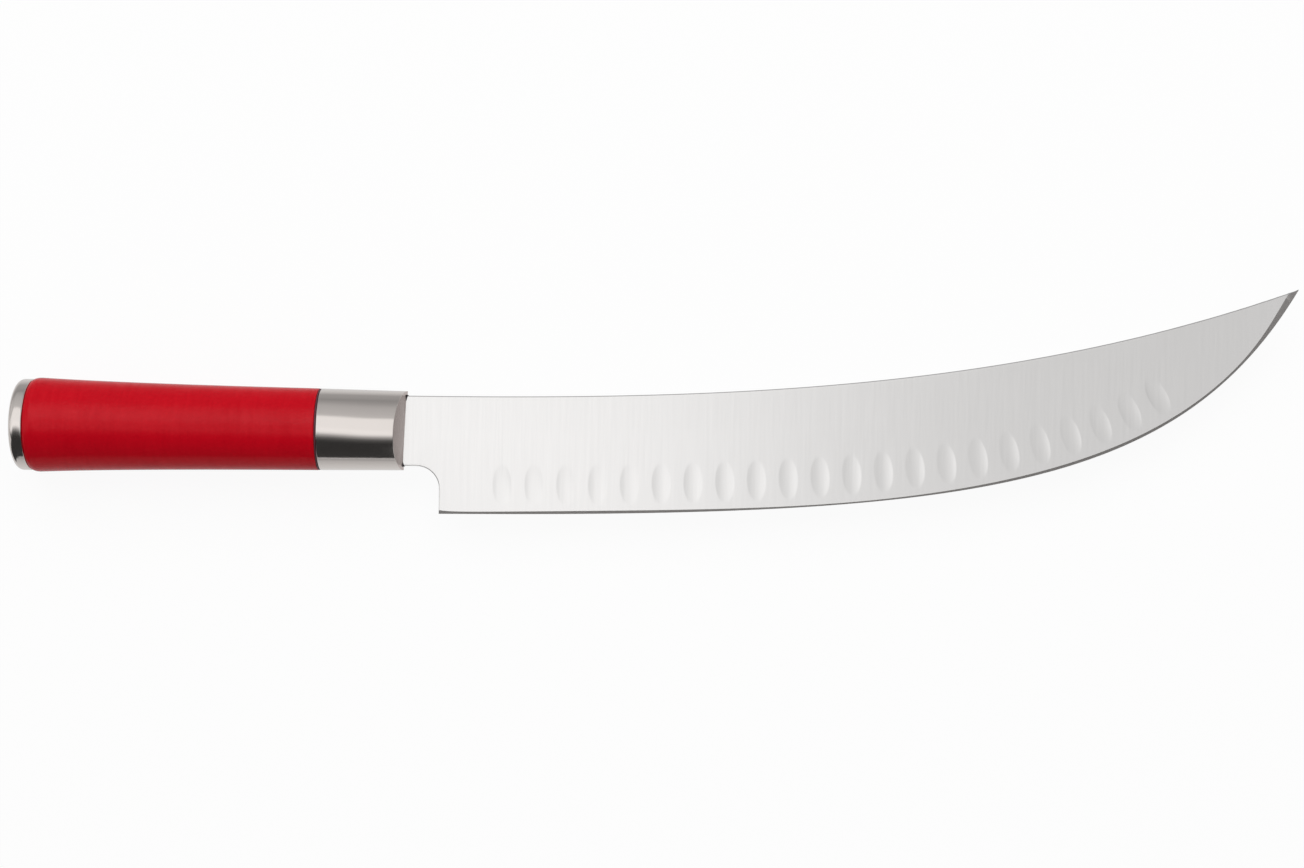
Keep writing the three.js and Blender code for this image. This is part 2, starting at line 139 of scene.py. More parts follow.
class KnifeBladeSizes(bpy.types.PropertyGroup):
    """Outline and section of the blade.

    A pull is the share of the length over which a curve keeps its direction.
    """

    length: metres("Length", "Front of the ferrule to the tip", front_of("blade"))
    tip_rise: metres("Tip rise", "Tip above the handle's axis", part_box("blade")[1].y - ORIGIN[Y])
    root_top: metres("Root top", "Spine above the axis, at the ferrule", 11.68 * MM)
    root_bottom: metres("Root bottom", "Underside of the root, below the axis", -11.7 * MM)
    spine_root_angle: angle("Spine at the root", "Slope of the spine at the ferrule", 0.2)
    spine_root_pull: share("Spine root pull", "Pull of the spine at the ferrule", 0.332)
    spine_tip_angle: angle("Spine at the tip", "Slope of the spine at the tip", 20.5)
    spine_tip_pull: share("Spine tip pull", "Pull of the spine at the tip", 0.347)
    edge_heel_angle: angle("Edge at the heel", "Slope of the edge at the heel", 0.54)
    edge_heel_pull: share("Edge heel pull", "Pull of the edge at the heel", 0.612)
    edge_tip_angle: angle("Edge at the tip", "Slope of the edge at the tip", 60)
    edge_tip_pull: share("Edge tip pull", "Pull of the edge at the tip", 0.258)
    heel_setback: metres("Heel setback", "Front of the ferrule to the heel", 11.4 * MM)
    heel_depth: metres("Heel depth", "Root's underside to the heel", 15.8 * MM)
    choil_radius: metres("Choil radius", "Round of the notch behind the heel", 7.6 * MM)
    thickness: metres("Thickness", "Between the flats", 2.5 * MM)
    edge_thickness: metres("Edge thickness", "Behind the cutting bevel, on average", 0.47 * MM)
    hone_swing: share("Hone swing", "How much the width of the bevel swings along the edge", 0.3)
    hone_wave: share("Hone wave", "Share of the edge from one wide place to the next", 0.55)
    hone_crest: share("Hone crest", "Share of the edge at the first wide place", 0.17)
    heel_hone: share("Heel hone", "How much wider the bevel is at the heel", 0.7)
    heel_hone_run: share("Heel hone run", "Share of the edge over which that dies away", 0.012)
    tip_hone: amount("Tip hone", "How much wider the bevel is at the tip", 2.6, min=0)
    tip_hone_run: share("Tip hone run", "Share of the edge over which that sets in", 0.065)
    grind_height: metres("Grind height", "Edge to the line where the flat starts", 26 * MM)
    grind_runout: metres("Grind run-out", "Length behind the heel where the grinding dies away", 22.5 * MM)
    runout_ease: metres("Run-out ease", "Length behind the heel where that sets in", 4 * MM)
    bevel_angle: angle("Bevel angle", "Cutting bevel, each side", 18)
    edge_land: metres("Edge land", "Width left at the very edge", 0.04 * MM)
    edge_break: metres("Edge break", "Eased edge of spine, choil and heel", 0.34 * MM)
    tang_half: metres("Tang half", "Half the thickness of the tang", 1.1 * MM)
    tang_width: metres("Tang width", "Across the tang", 12 * MM)
    shoulder: metres("Shoulder", "How far the full thickness goes into the ferrule", 0.55 * MM)


class KnifeHollowSizes(bpy.types.PropertyGroup):
    """Hollows ground into both faces of the blade, along its edge."""

    width: metres("Width", "Along the edge", 6.3 * MM)
    height: metres("Height", "Across the blade", 13.8 * MM)
    heel_depth: metres("Heel depth", "Deepest point below the face, next to the heel", 0.135 * MM)
    middle_depth: metres("Middle depth", "The same half way along", 0.115 * MM)
    tip_depth: metres("Tip depth", "The same next to the tip", 0.215 * MM)
    rim_softness: metres("Rim softness", "Depth over which a rim is rounded", 0.01 * MM)
    edge_gap: metres("Edge gap", "Edge to the near end of a hollow", 2.75 * MM)
    pitch: metres("Pitch", "Middle to middle", 10.6 * MM)
    start: metres("Start", "Heel to the middle of the first hollow", 21 * MM)
    end: metres("End", "Middle of the last hollow to the tip, at least", 52 * MM)


class KnifeHandleSizes(bpy.types.PropertyGroup):
    """Ferrule, seals, grip and end cap."""

    ferrule_taper: metres("Ferrule taper", "Radius lost from grip to front", 0.4 * MM)
    ferrule_bore: metres("Ferrule bore", "Radius inside the ferrule", 11.8 * MM)
    nose_depth: metres("Nose facets", "How far each flat of the nose falls back", 2.7 * MM)
    nose_wall: metres("Nose wall", "Metal behind the flats at the rim", 0.5 * MM)
    nose_lean: angle("Nose lean", "How far the nose's front leans to the tip, on the spine's side", 2.1)
    nose_round: metres("Nose round", "Rounding of the nose's rim", 0.12 * MM)
    ferrule_rear_round: metres("Ferrule rear round", "Rounding next to the seam ring", 0.3 * MM)
    slot_gap: metres("Slot gap", "Slot round the root of the blade", 0.3 * MM)
    slot_half: metres("Slot half", "Half the slot's width", 1.4 * MM)
    slot_round: metres("Slot round", "Rounding of the slot's mouth", 0.08 * MM)
    seal_gap: metres("Seal gap", "Sealant to metal", 0.05 * MM)
    bead_recess: metres("Bead recess", "Sealant behind the slot's mouth", 0.3 * MM)
    bead_proud: metres("Bead proud", "Sealant before the slot's mouth, at its ends", 0.45 * MM)
    bead_top_run: metres("Bead at the spine", "Length of the bead that stands proud there", 3 * MM)
    bead_bottom_run: metres("Bead at the choil", "Length of the bead that stands proud there", 2.2 * MM)
    ring_bore: metres("Ring bore", "Radius inside the seam ring and the grip's front", 9.4 * MM)
    ring_round: metres("Ring round", "Rounding of the seam ring", 0.15 * MM)
    ring_recess: metres("Ring recess", "Seam ring below the ferrule's surface", 0.06 * MM)
    grip_front_radius: metres("Grip front", "Radius where the grip meets the ferrule", 13.65 * MM)
    grip_front_angle: angle("Grip front angle", "Taper where it leaves the ferrule", 0.55)
    grip_front_pull: share("Grip front pull", "Pull of the side at the ferrule", 0.36)
    grip_butt_angle: angle("Grip butt angle", "Flare at the butt", 2.9)
    grip_butt_pull: share("Grip butt pull", "Pull of the side at the butt", 0.23)
    grip_rim_run: metres("Grip rim run", "Length of the rounded rim at the butt", 2.7 * MM)
    grip_rim_drop: metres("Grip rim drop", "Height of the same rim", 1.0 * MM)
    grip_front_round: metres("Grip front round", "Rounding next to the seam ring", 0.3 * MM)
    spigot_length: metres("Spigot length", "Depth of the grip's front bore", 10 * MM)
    fit_gap: metres("Fit gap", "Between round pieces that slide together", 0.1 * MM)
    seat_gap: metres("Seat gap", "Between faces that are drawn up together", 0.05 * MM)
    cap_edge_round: metres("Cap edge round", "Rounding of the cap's rear edge", 2 * MM)
    cap_seam_round: metres("Cap seam round", "Rounding of the cap next to the grip", 0.45 * MM)
    cap_skirt_wall: metres("Cap skirt wall", "Wall of the skirt inside the grip", 2 * MM)


class KnifeColours(bpy.types.PropertyGroup):
    """Colours of the finishes."""

    blade: colour("Blade steel", "Ground steel of the blade", (0.85, 0.838, 0.83))
    bevel: colour("Honed steel", "Cutting bevel", (0.74, 0.71, 0.69))
    fittings: colour("Satin steel", "Ferrule and end cap", (0.73, 0.68, 0.648))
    flats: colour("Nose flats", "Ground flats of the ferrule's nose", (0.565, 0.485, 0.46))
    grip: colour("Red polymer", "Grip", (0.51, 0.0, 0.008))
    seal: colour("Sealant", "Slot seal", (0.02, 0.015, 0.018))
    seam: colour("Seam", "Ring between ferrule and grip", (0.08, 0.02, 0.03))
    core: colour("Core polymer", "Plug inside the ferrule", (0.024, 0.024, 0.027))
    resin: colour("Resin", "Potting round the tang", (0.57, 0.45, 0.24))
    zinc: colour("Zinc plate", "Stud, washer and nut", (0.40, 0.41, 0.42))
    floor: colour("Floor", "Pale floor", (0.86, 0.86, 0.86))


class KnifeStage(bpy.types.PropertyGroup):
    """Camera, softbox, cards and floor."""

    camera_distance: metres("Camera distance", "Camera above the handle's axis", 735 * MM)
    camera_ahead: metres("Camera ahead", "Camera ahead of the ferrule's front", 82.07 * MM)
    camera_aside: metres("Camera aside", "Camera towards the spine from the axis", 0.28 * MM)
    camera_roll: angle("Camera roll", "Turn of the picture about the camera's axis", 0.96)
    pixels_per_metre: amount("Pixels per metre", "Scale of the picture at the axis", 3000, min=0)
    softbox_power: watts("Softbox power", "Power of the lamp over the knife", 12.8)
    room_level: amount("Room level", "Brightness of the room on dull surfaces", 0.41, min=0)
    tent_level: amount("Tent level", "Brightness of the tent in shiny surfaces, 1 for white", 1.122, min=0)
    floor_glow: share("Floor glow", "Share of the floor that shows plain white", 0.93)


SETTINGS = {
    "knife_blade": KnifeBladeSizes,
    "knife_hollows": KnifeHollowSizes,
    "knife_handle": KnifeHandleSizes,
    "knife_colours": KnifeColours,
    "knife_stage": KnifeStage,
}


# Mesh building

MAIN_FINISH = 0  # places of a piece's finishes in its list
SECOND_FINISH = 1


class Skin:
    """Vertices and faces of one piece in the knife's own axes. Points that coincide are one vertex."""

    def __init__(self):
        self.places = {}
        self.faces = []
        self.slots = []

    def vertex(self, point):
        key = tuple(round(float(value), WELD_DIGITS) + 0.0 for value in point)
        return self.places.setdefault(key, len(self.places))

    def face(self, points, slot=MAIN_FINISH):
        """One face, unless its points have run together."""
        corners = list(dict.fromkeys(self.vertex(point) for point in points))
        if len(corners) > 2:
            self.faces.append(corners)
            self.slots.append(slot)

    def strips(self, rows, slot=MAIN_FINISH, closed=False):
        """Faces between neighbouring rows of as many points each.

        The slot is a number, or a list with one for each face of a strip.
        """
        count = len(rows[0])
        faces = count if closed else count - 1
        slots = slot if isinstance(slot, list) else [slot] * faces
        for first, second in zip(rows, rows[1:]):
            for i in range(faces):
                after = (i + 1) % count
                self.face([first[i], first[after], second[after], second[i]], slots[i])

    def tube(self, rings, slot=MAIN_FINISH):
        """A closed surface through rings of points, the last joined to the first."""
        self.strips(rings + rings[:1], slot, closed=True)

    def piece(self, name, materials):
        """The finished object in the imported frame, smooth where its faces run on and sharp at its edges."""
        mesh = bpy.data.meshes.new(name)
        points = np.array(list(self.places)) + ORIGIN
        mesh.from_pydata(points.tolist(), [], self.faces)
        mesh.polygons.foreach_set("material_index", self.slots)
        for material in materials:
            mesh.materials.append(material)
        work = bmesh.new()
        work.from_mesh(mesh)
        bmesh.ops.recalc_face_normals(work, faces=work.faces)
        work.to_mesh(mesh)
        work.free()
        mesh.shade_smooth()
        mesh.set_sharp_from_angle(angle=SHARP_ANGLE)
        if mesh.validate():
            raise RuntimeError(f"the mesh of {name} has faults")
        made = bpy.data.objects.new(name, mesh)
        bpy.context.scene.collection.objects.link(made)
        return made


def stand_in(piece, node):
    """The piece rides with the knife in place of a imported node."""
    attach(piece, "root")
    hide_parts(node)


def unit(vector):
    return vector / np.linalg.norm(vector)


def rounded(corners):
    """A closed outline through (x, y, rounding) corners, each turned by an arc where its rounding isn't 0."""
    places = [np.array(corner[:2], float) for corner in corners]
    outline = []
    for i, place in enumerate(places):
        rounding = corners[i][2]
        if rounding == 0:
            outline.append(place)
            continue
        back = unit(places[i - 1] - place)
        ahead = unit(places[(i + 1) % len(places)] - place)
        weight = math.sqrt((1 - back @ ahead) / 2)
        for step in np.linspace(0, 1, ROUND_STEPS + 1):
            shares = np.array([(1 - step) ** 2, 2 * step * (1 - step) * weight, step ** 2])
            curve = [place + back * rounding, place, place + ahead * rounding]
            outline.append(shares @ np.array(curve) / shares.sum())
    return outline


def around(x, radius, turn):
    """The point at a place along the handle's axis, a radius from it and a turn from the spine's side."""
    return x, radius * math.cos(turn), radius * math.sin(turn)


def lathe_skin(corners):
    """A surface turned about the handle's axis, from an outline of (x, radius, rounding) corners."""
    turns = np.linspace(0, 2 * math.pi, TURNED_SIDES, endpoint=False)
    skin = Skin()
    skin.tube([[around(x, radius, turn) for turn in turns] for x, radius in rounded(corners)])
    return skin


def sweep(length, start, end):
    """Close points of a cubic curve between two ends, each a point, its slope and its pull."""
    def step(slope, pull):
        return length * pull * np.array([math.cos(slope), math.sin(slope)])

    (first, first_slope, first_pull), (last, last_slope, last_pull) = start, end
    first, last = np.array(first), np.array(last)
    at = np.linspace(0, 1, CURVE_STEPS + 1)[:, None]
    rest = 1 - at
    leave = first + step(first_slope, first_pull)
    arrive = last - step(last_slope, last_pull)
    return rest ** 3 * first + 3 * rest ** 2 * at * leave + 3 * rest * at ** 2 * arrive + at ** 3 * last


def run_of(points):
    """Length along a curve at each of its points."""
    steps = np.linalg.norm(np.diff(points, axis=0), axis=1)
    return np.concatenate([[0], np.cumsum(steps)])


def headings(points):
    ways = np.gradient(points, axis=0)
    return ways / np.linalg.norm(ways, axis=1, keepdims=True)


def quarter_left(ways, short_of=0.0):
    """Directions turned to the left by a right angle, less a small angle."""
    cos, sin = math.sin(short_of), math.cos(short_of)
    return np.stack([ways[:, X] * cos - ways[:, Y] * sin, ways[:, X] * sin + ways[:, Y] * cos], axis=1)


# Blade

LEAD_STEPS = 12  # lines across the blade between the heel and the first hollow
HOLLOW_COLUMNS = 8  # lines across the blade in one pitch, an even number
TIP_STEPS = 44  # lines across the blade past the last hollow
TIP_CROWDING = 1.7  # how much closer they stand at the tip
BAND_MARGIN = 1.15 * MM  # room round the hollows in their band
BAND_LOW_STEPS = 8  # rows from the band's lower side to the end of the choil
BAND_HIGH_STEPS = 12  # rows from there to the band's upper side
UPPER_STEPS = 14  # rows from the band to the spine
HOLLOW_RINGS = (0.3, 0.55, 0.75, 0.87, 0.94, 0.98, 1.01, 1.05, 1.1)  # shares of a hollow's half width
GRIND_SOFTNESS = 0.05 * MM  # rounding of the line where the grinding meets the flat
BEVEL_REACH = 0.8  # the bevel's share of the blade's width, at most
BREAK_REACH = 0.6  # the edge break's share of half the thickness, at most
BREAK_FULLNESS = 0.35  # 0 is a straight chamfer, 0.7 a round
CHOIL_STEPS = 14
ROOT_STEPS = 5
ROOT_CLEARANCE = 0.3 * MM  # hidden part of the root inside the slot's ends


class BladeForm:
    """The blade's faces on a net of lines that run across it from the cutting edge to the spine."""

    def __init__(self, sizes, hollows):
        self.sizes = sizes
        self.hollows = hollows
        self.half = sizes.thickness / 2
        tip = (sizes.length, sizes.tip_rise)
        heel = (sizes.heel_setback, sizes.root_bottom - sizes.heel_depth)
        self.spine = sweep(
            sizes.length,
            ((0, sizes.root_top), sizes.spine_root_angle, sizes.spine_root_pull),
            (tip, sizes.spine_tip_angle, sizes.spine_tip_pull))
        self.spine_out = quarter_left(headings(self.spine))
        self.edge = sweep(
            sizes.length,
            (heel, sizes.edge_heel_angle, sizes.edge_heel_pull),
            (tip, sizes.edge_tip_angle, sizes.edge_tip_pull))
        self.inward = quarter_left(headings(self.edge), sizes.edge_heel_angle)
        self.share = run_of(self.edge) / run_of(self.edge)[-1]
        self.inset = hollows.edge_gap + hollows.height / 2
        self.run = run_of(self.edge + self.inset * self.inward)
        self.choil_depth = sizes.heel_depth - sizes.choil_radius
        self.band = (
            self.inset - hollows.height / 2 - BAND_MARGIN,
            self.inset + hollows.height / 2 + BAND_MARGIN)
        if not self.band[0] < self.choil_depth < self.band[1]:
            raise ValueError("the choil has to end at the height of the hollows")
        self.lay_lines()
        self.lay_rows()

    def on_edge(self, run):
        """Point of the edge, way into the blade and share of the edge, a distance along the hollows' line."""
        def at(columns):
            return np.stack([np.interp(run, self.run, column) for column in columns.T], axis=-1)

        return at(self.edge), at(self.inward), np.interp(run, self.run, self.share)

    def behind_bevel(self, share):
        """Half the thickness behind the bevel, which is honed by hand and so isn't even."""
        sizes = self.sizes
        wave = np.cos(2 * math.pi * (share - sizes.hone_crest) / sizes.hone_wave)
        heel = np.exp(-share / sizes.heel_hone_run)
        tip = np.exp(-((1 - share) / sizes.tip_hone_run) ** 2)
        extra = sizes.hone_swing * wave + sizes.heel_hone * heel + sizes.tip_hone * tip
        return sizes.edge_thickness / 2 * (1 + extra)

    def half_thickness(self, share, depth, lift=0.0):
        """Height of the face over the blade's middle plane, a depth in from the edge."""
        thin = self.behind_bevel(share)
        ground = thin + (self.half - thin) * (depth / self.sizes.grind_height + lift)
        gap = ground - self.half
        face = (ground + self.half - np.sqrt(gap ** 2 + GRIND_SOFTNESS ** 2)) / 2
        bevel = self.sizes.edge_land / 2 + math.tan(self.sizes.bevel_angle) * depth
        return np.minimum(face, bevel)

    def bevel_depth(self, share):
        """Depth at which the bevel meets the ground face."""
        thin = self.behind_bevel(share)
        closing = math.tan(self.sizes.bevel_angle) - (self.half - thin) / self.sizes.grind_height
        return (thin - self.sizes.edge_land / 2) / closing

    def hollow_count(self, shift):
        room = self.run[-1] - self.hollows.start - self.hollows.end - shift
        return math.floor(room / self.hollows.pitch) + 1

    def hollow_depth(self, run):
        """Depth of a hollow by its place along their line. They are ground deeper towards both ends."""
        hollows = self.hollows
        along = (run - hollows.start) / (self.run[-1] - hollows.start - hollows.end)
        heel = hollows.heel_depth * (1 - along) * (1 - 2 * along)
        middle = hollows.middle_depth * 4 * along * (1 - along)
        tip = hollows.tip_depth * along * (2 * along - 1)
        return heel + middle + tip

    def lay_lines(self):
        """The lines across the blade: where they start, which way they go and where they meet the spine."""
        first = self.hollows.start - self.hollows.pitch / 2
        count = self.hollow_count(0)
        last = first + count * self.hollows.pitch
        out = 1 - (1 - np.linspace(0, 1, TIP_STEPS + 1)) ** TIP_CROWDING
        self.line_run = np.concatenate([
            np.linspace(0, first, LEAD_STEPS, endpoint=False),
            np.linspace(first, last, count * HOLLOW_COLUMNS, endpoint=False),
            last + out * (self.run[-1] - last)])
        self.last_plain = LEAD_STEPS + count * HOLLOW_COLUMNS
        self.start, self.way, self.line_share = self.on_edge(self.line_run)
        # A line ends at the point of the spine that lies least aside of it. The last line is the tip itself
        offset = self.spine[None] - self.start[:, None]
        aside = offset[..., X] * self.way[:, None, Y] - offset[..., Y] * self.way[:, None, X]
        ahead = (offset * self.way[:, None]).sum(axis=-1)
        meet = np.argmin(np.abs(aside), axis=1)
        lines = np.arange(len(meet))
        self.width = ahead[lines, meet]
        self.width[-1] = 0
        self.top = self.start + self.way * self.width[:, None]
        self.top_out = self.spine_out[meet]

    def lay_rows(self):
        """The rows along the blade: their depth in from the edge on each line, and the points of the net."""
        bevel = np.minimum(self.bevel_depth(self.line_share), BEVEL_REACH * self.width)
        height = self.half_thickness(self.line_share, self.width)
        self.broken = np.minimum(self.sizes.edge_break, BREAK_REACH * np.minimum(height, self.width))
        inner = self.top - self.top_out * self.broken[:, None]
        reach = ((inner - self.start) * self.way).sum(axis=1)
        low, high = self.band
        band = np.concatenate([
            np.linspace(low, self.choil_depth, BAND_LOW_STEPS, endpoint=False),
            np.linspace(self.choil_depth, high, BAND_HIGH_STEPS + 1)])
        upper = np.linspace(0, 1, UPPER_STEPS + 1)[1:]
        rows = [np.zeros_like(bevel), bevel, (bevel + low) / 2]
        self.band_start = len(rows)
        self.band_end = self.band_start + BAND_LOW_STEPS + BAND_HIGH_STEPS
        self.choil_row = self.band_start + BAND_LOW_STEPS
        rows += [np.full_like(bevel, depth) for depth in band]
        rows += [high + part * (reach - high) for part in upper]
        depth = np.stack(rows, axis=1)
        # Past the last hollow the rows keep their shares of the way from the bevel to the spine
        plain = self.last_plain
        held = (depth[plain, 1:] - bevel[plain]) / (reach[plain] - bevel[plain])
        rest = slice(plain + 1, None)
        depth[rest, 1:] = bevel[rest, None] + held * (reach - bevel)[rest, None]
        # The points of the net, with the heel's line drawn in by the break of its edge
        flat = self.start[:, None] + self.way[:, None] * depth[..., None]
        flat[:, -1] = inner
        height = self.half_thickness(self.line_share[:, None], depth)
        self.heel_break = np.minimum(self.sizes.edge_break, BREAK_REACH * height[0])
        flat[0, :, X] = self.sizes.heel_setback + self.heel_break
        self.depth = depth
        self.net = np.concatenate([flat, height[..., None]], axis=-1)

    def root_net(self):
        """Points behind the heel, from the heel's line back to the shoulder in the ferrule."""
        sizes = self.sizes
        # Lower side: round the choil, then straight along the root's underside
        centre = np.array([sizes.heel_setback, sizes.root_bottom]) - sizes.choil_radius
        turn = np.linspace(math.pi / 2, 0, CHOIL_STEPS + 1)
        ways = np.stack([np.sin(turn), np.cos(turn)], axis=1)
        choil = centre + ways * (sizes.choil_radius + sizes.edge_break)
        under = np.linspace(choil[-1, X], -sizes.shoulder, ROOT_STEPS + 1)[1:]
        straight = np.stack([under, np.full_like(under, choil[-1, Y])], axis=1)
        bottom = np.concatenate([choil, straight])
        self.root_out = np.concatenate([-ways, np.tile([0.0, -1.0], (ROOT_STEPS, 1))])
        # From there, each line goes up to the spine with its points shared out as on the heel's line
        spine_height = np.interp(bottom[:, X], self.spine[:, X], self.spine[:, Y]) - sizes.edge_break
        heel_line = self.net[0, self.choil_row:, Y]
        parts = (heel_line - heel_line[0]) / (heel_line[-1] - heel_line[0])
        y = bottom[:, Y, None] + parts * (spine_height - bottom[:, Y])[:, None]
        x = np.repeat(bottom[:, :1], len(parts), axis=1)
        y[0], x[0] = heel_line, self.net[0, self.choil_row:, X]
        # The grinding dies away behind the heel
        behind = np.maximum(0, sizes.heel_setback - x)
        lift = behind ** 2 / (behind + sizes.runout_ease) / sizes.grind_runout
        height = self.half_thickness(0.0, y - self.start[0, Y], lift)
        height[0] = self.net[0, self.choil_row:, Z]
        return np.stack([x, y, height], axis=-1)

    def hollow_rings(self, line):
        """Rings of one hollow from its middle outwards, and last the border of its cell on the net."""
        # Border: along the lower side, up, back along the upper side and down
        first, last = line, line + HOLLOW_COLUMNS
        low, high = self.band_start, self.band_end
        border = [(i, low) for i in range(first, last)]
        border += [(last, j) for j in range(low, high)]
        border += [(i, high) for i in range(last, first, -1)]
        border += [(first, j) for j in range(high, low, -1)]
        lines, rows = np.array(border).T
        # Rings: one point in the direction of each point of the border
        middle = (self.line_run[first] + self.line_run[last]) / 2
        across = (self.line_run[lines] - middle) / (self.hollows.width / 2)
        up = (self.depth[lines, rows] - self.inset) / (self.hollows.height / 2)
        turn = np.arctan2(up, across)
        rings = []
        for size in (0, *HOLLOW_RINGS):
            run = middle + size * self.hollows.width / 2 * np.cos(turn)
            depth = self.inset + size * self.hollows.height / 2 * np.sin(turn)
            point, inward, share = self.on_edge(run)
            flat = point + inward * depth[:, None]
            bowl = self.hollow_depth(middle) * (1 - size ** 2)
            bowl = (bowl + math.hypot(bowl, self.hollows.rim_softness)) / 2
            height = self.half_thickness(share, depth) - bowl
            rings.append(np.concatenate([flat, height[:, None]], axis=1))
        return rings + [self.net[lines, rows]]


def over_edge(inner, outward, size):
    """Points over an eased edge of the blade, from its upper face round to its lower face."""
    step = np.linspace(0, 1, ROUND_STEPS + 1)
    corner = 2 * step * (1 - step) * BREAK_FULLNESS
    total = (1 - step) ** 2 + corner + step ** 2
    out = size * (corner + step ** 2) / total
    drop = size * step ** 2 / total
    x = inner[X] + outward[X] * out
    y = inner[Y] + outward[Y] * out
    upper = np.stack([x, y, inner[Z] - drop], axis=1)
    return np.concatenate([upper, upper[::-1] * (1, 1, -1)])


def blade_face(skin, form, root, side):
    """One face of the blade, 1 for the upper and -1 for the lower, whose hollows stand half a pitch on."""
    turn_over = np.array([1, 1, side])
    shift = 0 if side > 0 else HOLLOW_COLUMNS // 2
    count = form.hollow_count(0 if side > 0 else form.hollows.pitch / 2)
    first = LEAD_STEPS + shift
    last = first + count * HOLLOW_COLUMNS
    net = form.net * turn_over
    for i in range(len(net) - 1):
        for j in range(net.shape[1] - 1):
            if first <= i < last and form.band_start <= j < form.band_end:
                continue
            slot = SECOND_FINISH if j == 0 else MAIN_FINISH
            skin.face([net[i, j], net[i + 1, j], net[i + 1, j + 1], net[i, j + 1]], slot)
    for line in range(first, last, HOLLOW_COLUMNS):
        skin.strips([ring * turn_over for ring in form.hollow_rings(line)], closed=True)
    skin.strips(root * turn_over)


def held_between(points, axis, low, high):
    """A copy of some points, held between two values along one axis."""
    held = points.copy()
    held[:, axis] = np.clip(held[:, axis], low, high)
    return held


def blade_skin(sizes, hollows, tang_rear, nose_rear):
    """The whole blade with its tang, as one closed surface."""
    skin = Skin()
    form = BladeForm(sizes, hollows)
    root = form.root_net()
    blade_face(skin, form, root, 1)
    blade_face(skin, form, root, -1)
    lower = np.array([1, 1, -1])
    skin.strips([form.net[:, 0], form.net[:, 0] * lower], SECOND_FINISH)

    spine = [over_edge(*edge) for edge in zip(form.net[:, -1], form.top_out, form.broken)]
    spine[0] = over_edge(form.net[0, -1], (0, 1), sizes.edge_break)
    root_top = [over_edge(point, (0, 1), sizes.edge_break) for point in root[:, -1]]
    belly = [over_edge(point, out, sizes.edge_break) for point, out in zip(root[:, 0], form.root_out)]
    heel = [over_edge(form.net[0, j], (-1, 0), form.heel_break[j]) for j in range(form.choil_row + 1)]
    for rims in (spine, root_top, belly, heel):
        skin.strips(rims)
    skin.face(heel[0])

    # Loops from the shoulder back through the nose, each no wider than the one before, to the tang's end
    shoulder = np.concatenate([root[-1], root_top[-1], root[-1, ::-1] * lower, belly[-1][::-1]])
    neck = held_between(shoulder, Y, sizes.root_bottom + ROOT_CLEARANCE, sizes.root_top - ROOT_CLEARANCE)
    neck = held_between(neck, Z, -sizes.tang_half, sizes.tang_half)
    neck_rear = held_between(neck, X, nose_rear, nose_rear)
    tang = held_between(neck_rear, Y, -sizes.tang_width / 2, sizes.tang_width / 2)
    tang_end = held_between(tang, X, tang_rear, tang_rear)
    skin.strips([shoulder, neck, neck_rear, tang, tang_end], closed=True)
    skin.face(tang_end)
    return skin


# Handle

BEAD_STEPS = 48


def slot_reach(turn, top, bottom, half):
    """Distance from the axis to the slot's wall, in a direction across the handle."""
    length = top if math.cos(turn) > 0 else bottom
    return 1 / max(abs(math.cos(turn)) / length, abs(math.sin(turn)) / half)


def nose_rear_of(sizes):
    """Place along the axis where the ferrule's nose ends inside."""
    return -sizes.nose_depth - sizes.nose_wall


def ferrule_skin(sizes, blade, rear, radius):
    """Sleeve whose nose is slotted for the blade and cut to two flats, which have a finish of their own."""
    top = blade.root_top + sizes.slot_gap
    bottom = sizes.slot_gap - blade.root_bottom
    upper_corner = math.atan2(sizes.slot_half, top)
    lower_corner = math.pi - math.atan2(sizes.slot_half, bottom)
    # One section at each corner of the slot, and as many between as its share of the turn asks for
    half_turn = [0, upper_corner, lower_corner, math.pi]
    marks = half_turn + [2 * math.pi - turn for turn in half_turn[-2::-1]]
    turns = []
    for start, end in zip(marks, marks[1:]):
        count = math.ceil((end - start) / (2 * math.pi) * TURNED_SIDES)
        turns += np.linspace(start, end, count, endpoint=False).tolist()
    nose_radius = radius - sizes.ferrule_taper
    fall = sizes.nose_depth / nose_radius
    nose_rear = nose_rear_of(sizes)
    sections = []
    for turn in turns:
        # The front falls back by the lean for each metre out from the axis, as far as the tapered side
        lean = fall * abs(math.sin(turn)) - math.tan(sizes.nose_lean) * math.cos(turn)
        rim = nose_radius / (1 - sizes.ferrule_taper / -rear * lean)
        mouth = slot_reach(turn, top, bottom, sizes.slot_half)
        profile = rounded([
            (rear, sizes.ferrule_bore, 0),
            (rear, radius, sizes.ferrule_rear_round),
            (-rim * lean, rim, sizes.nose_round),
            (-mouth * lean, mouth, sizes.slot_round),
            (nose_rear, mouth, 0),
            (nose_rear, sizes.ferrule_bore, 0),
        ])
        sections.append([around(*point, turn) for point in profile])
    slots = [MAIN_FINISH] * len(sections[0])
    rim_end = 2 * (ROUND_STEPS + 1)  # last point of the rim, after the bore's corner and the rear rounding
    slots[rim_end] = SECOND_FINISH
    skin = Skin()
    skin.tube(sections, slots)
    return skin


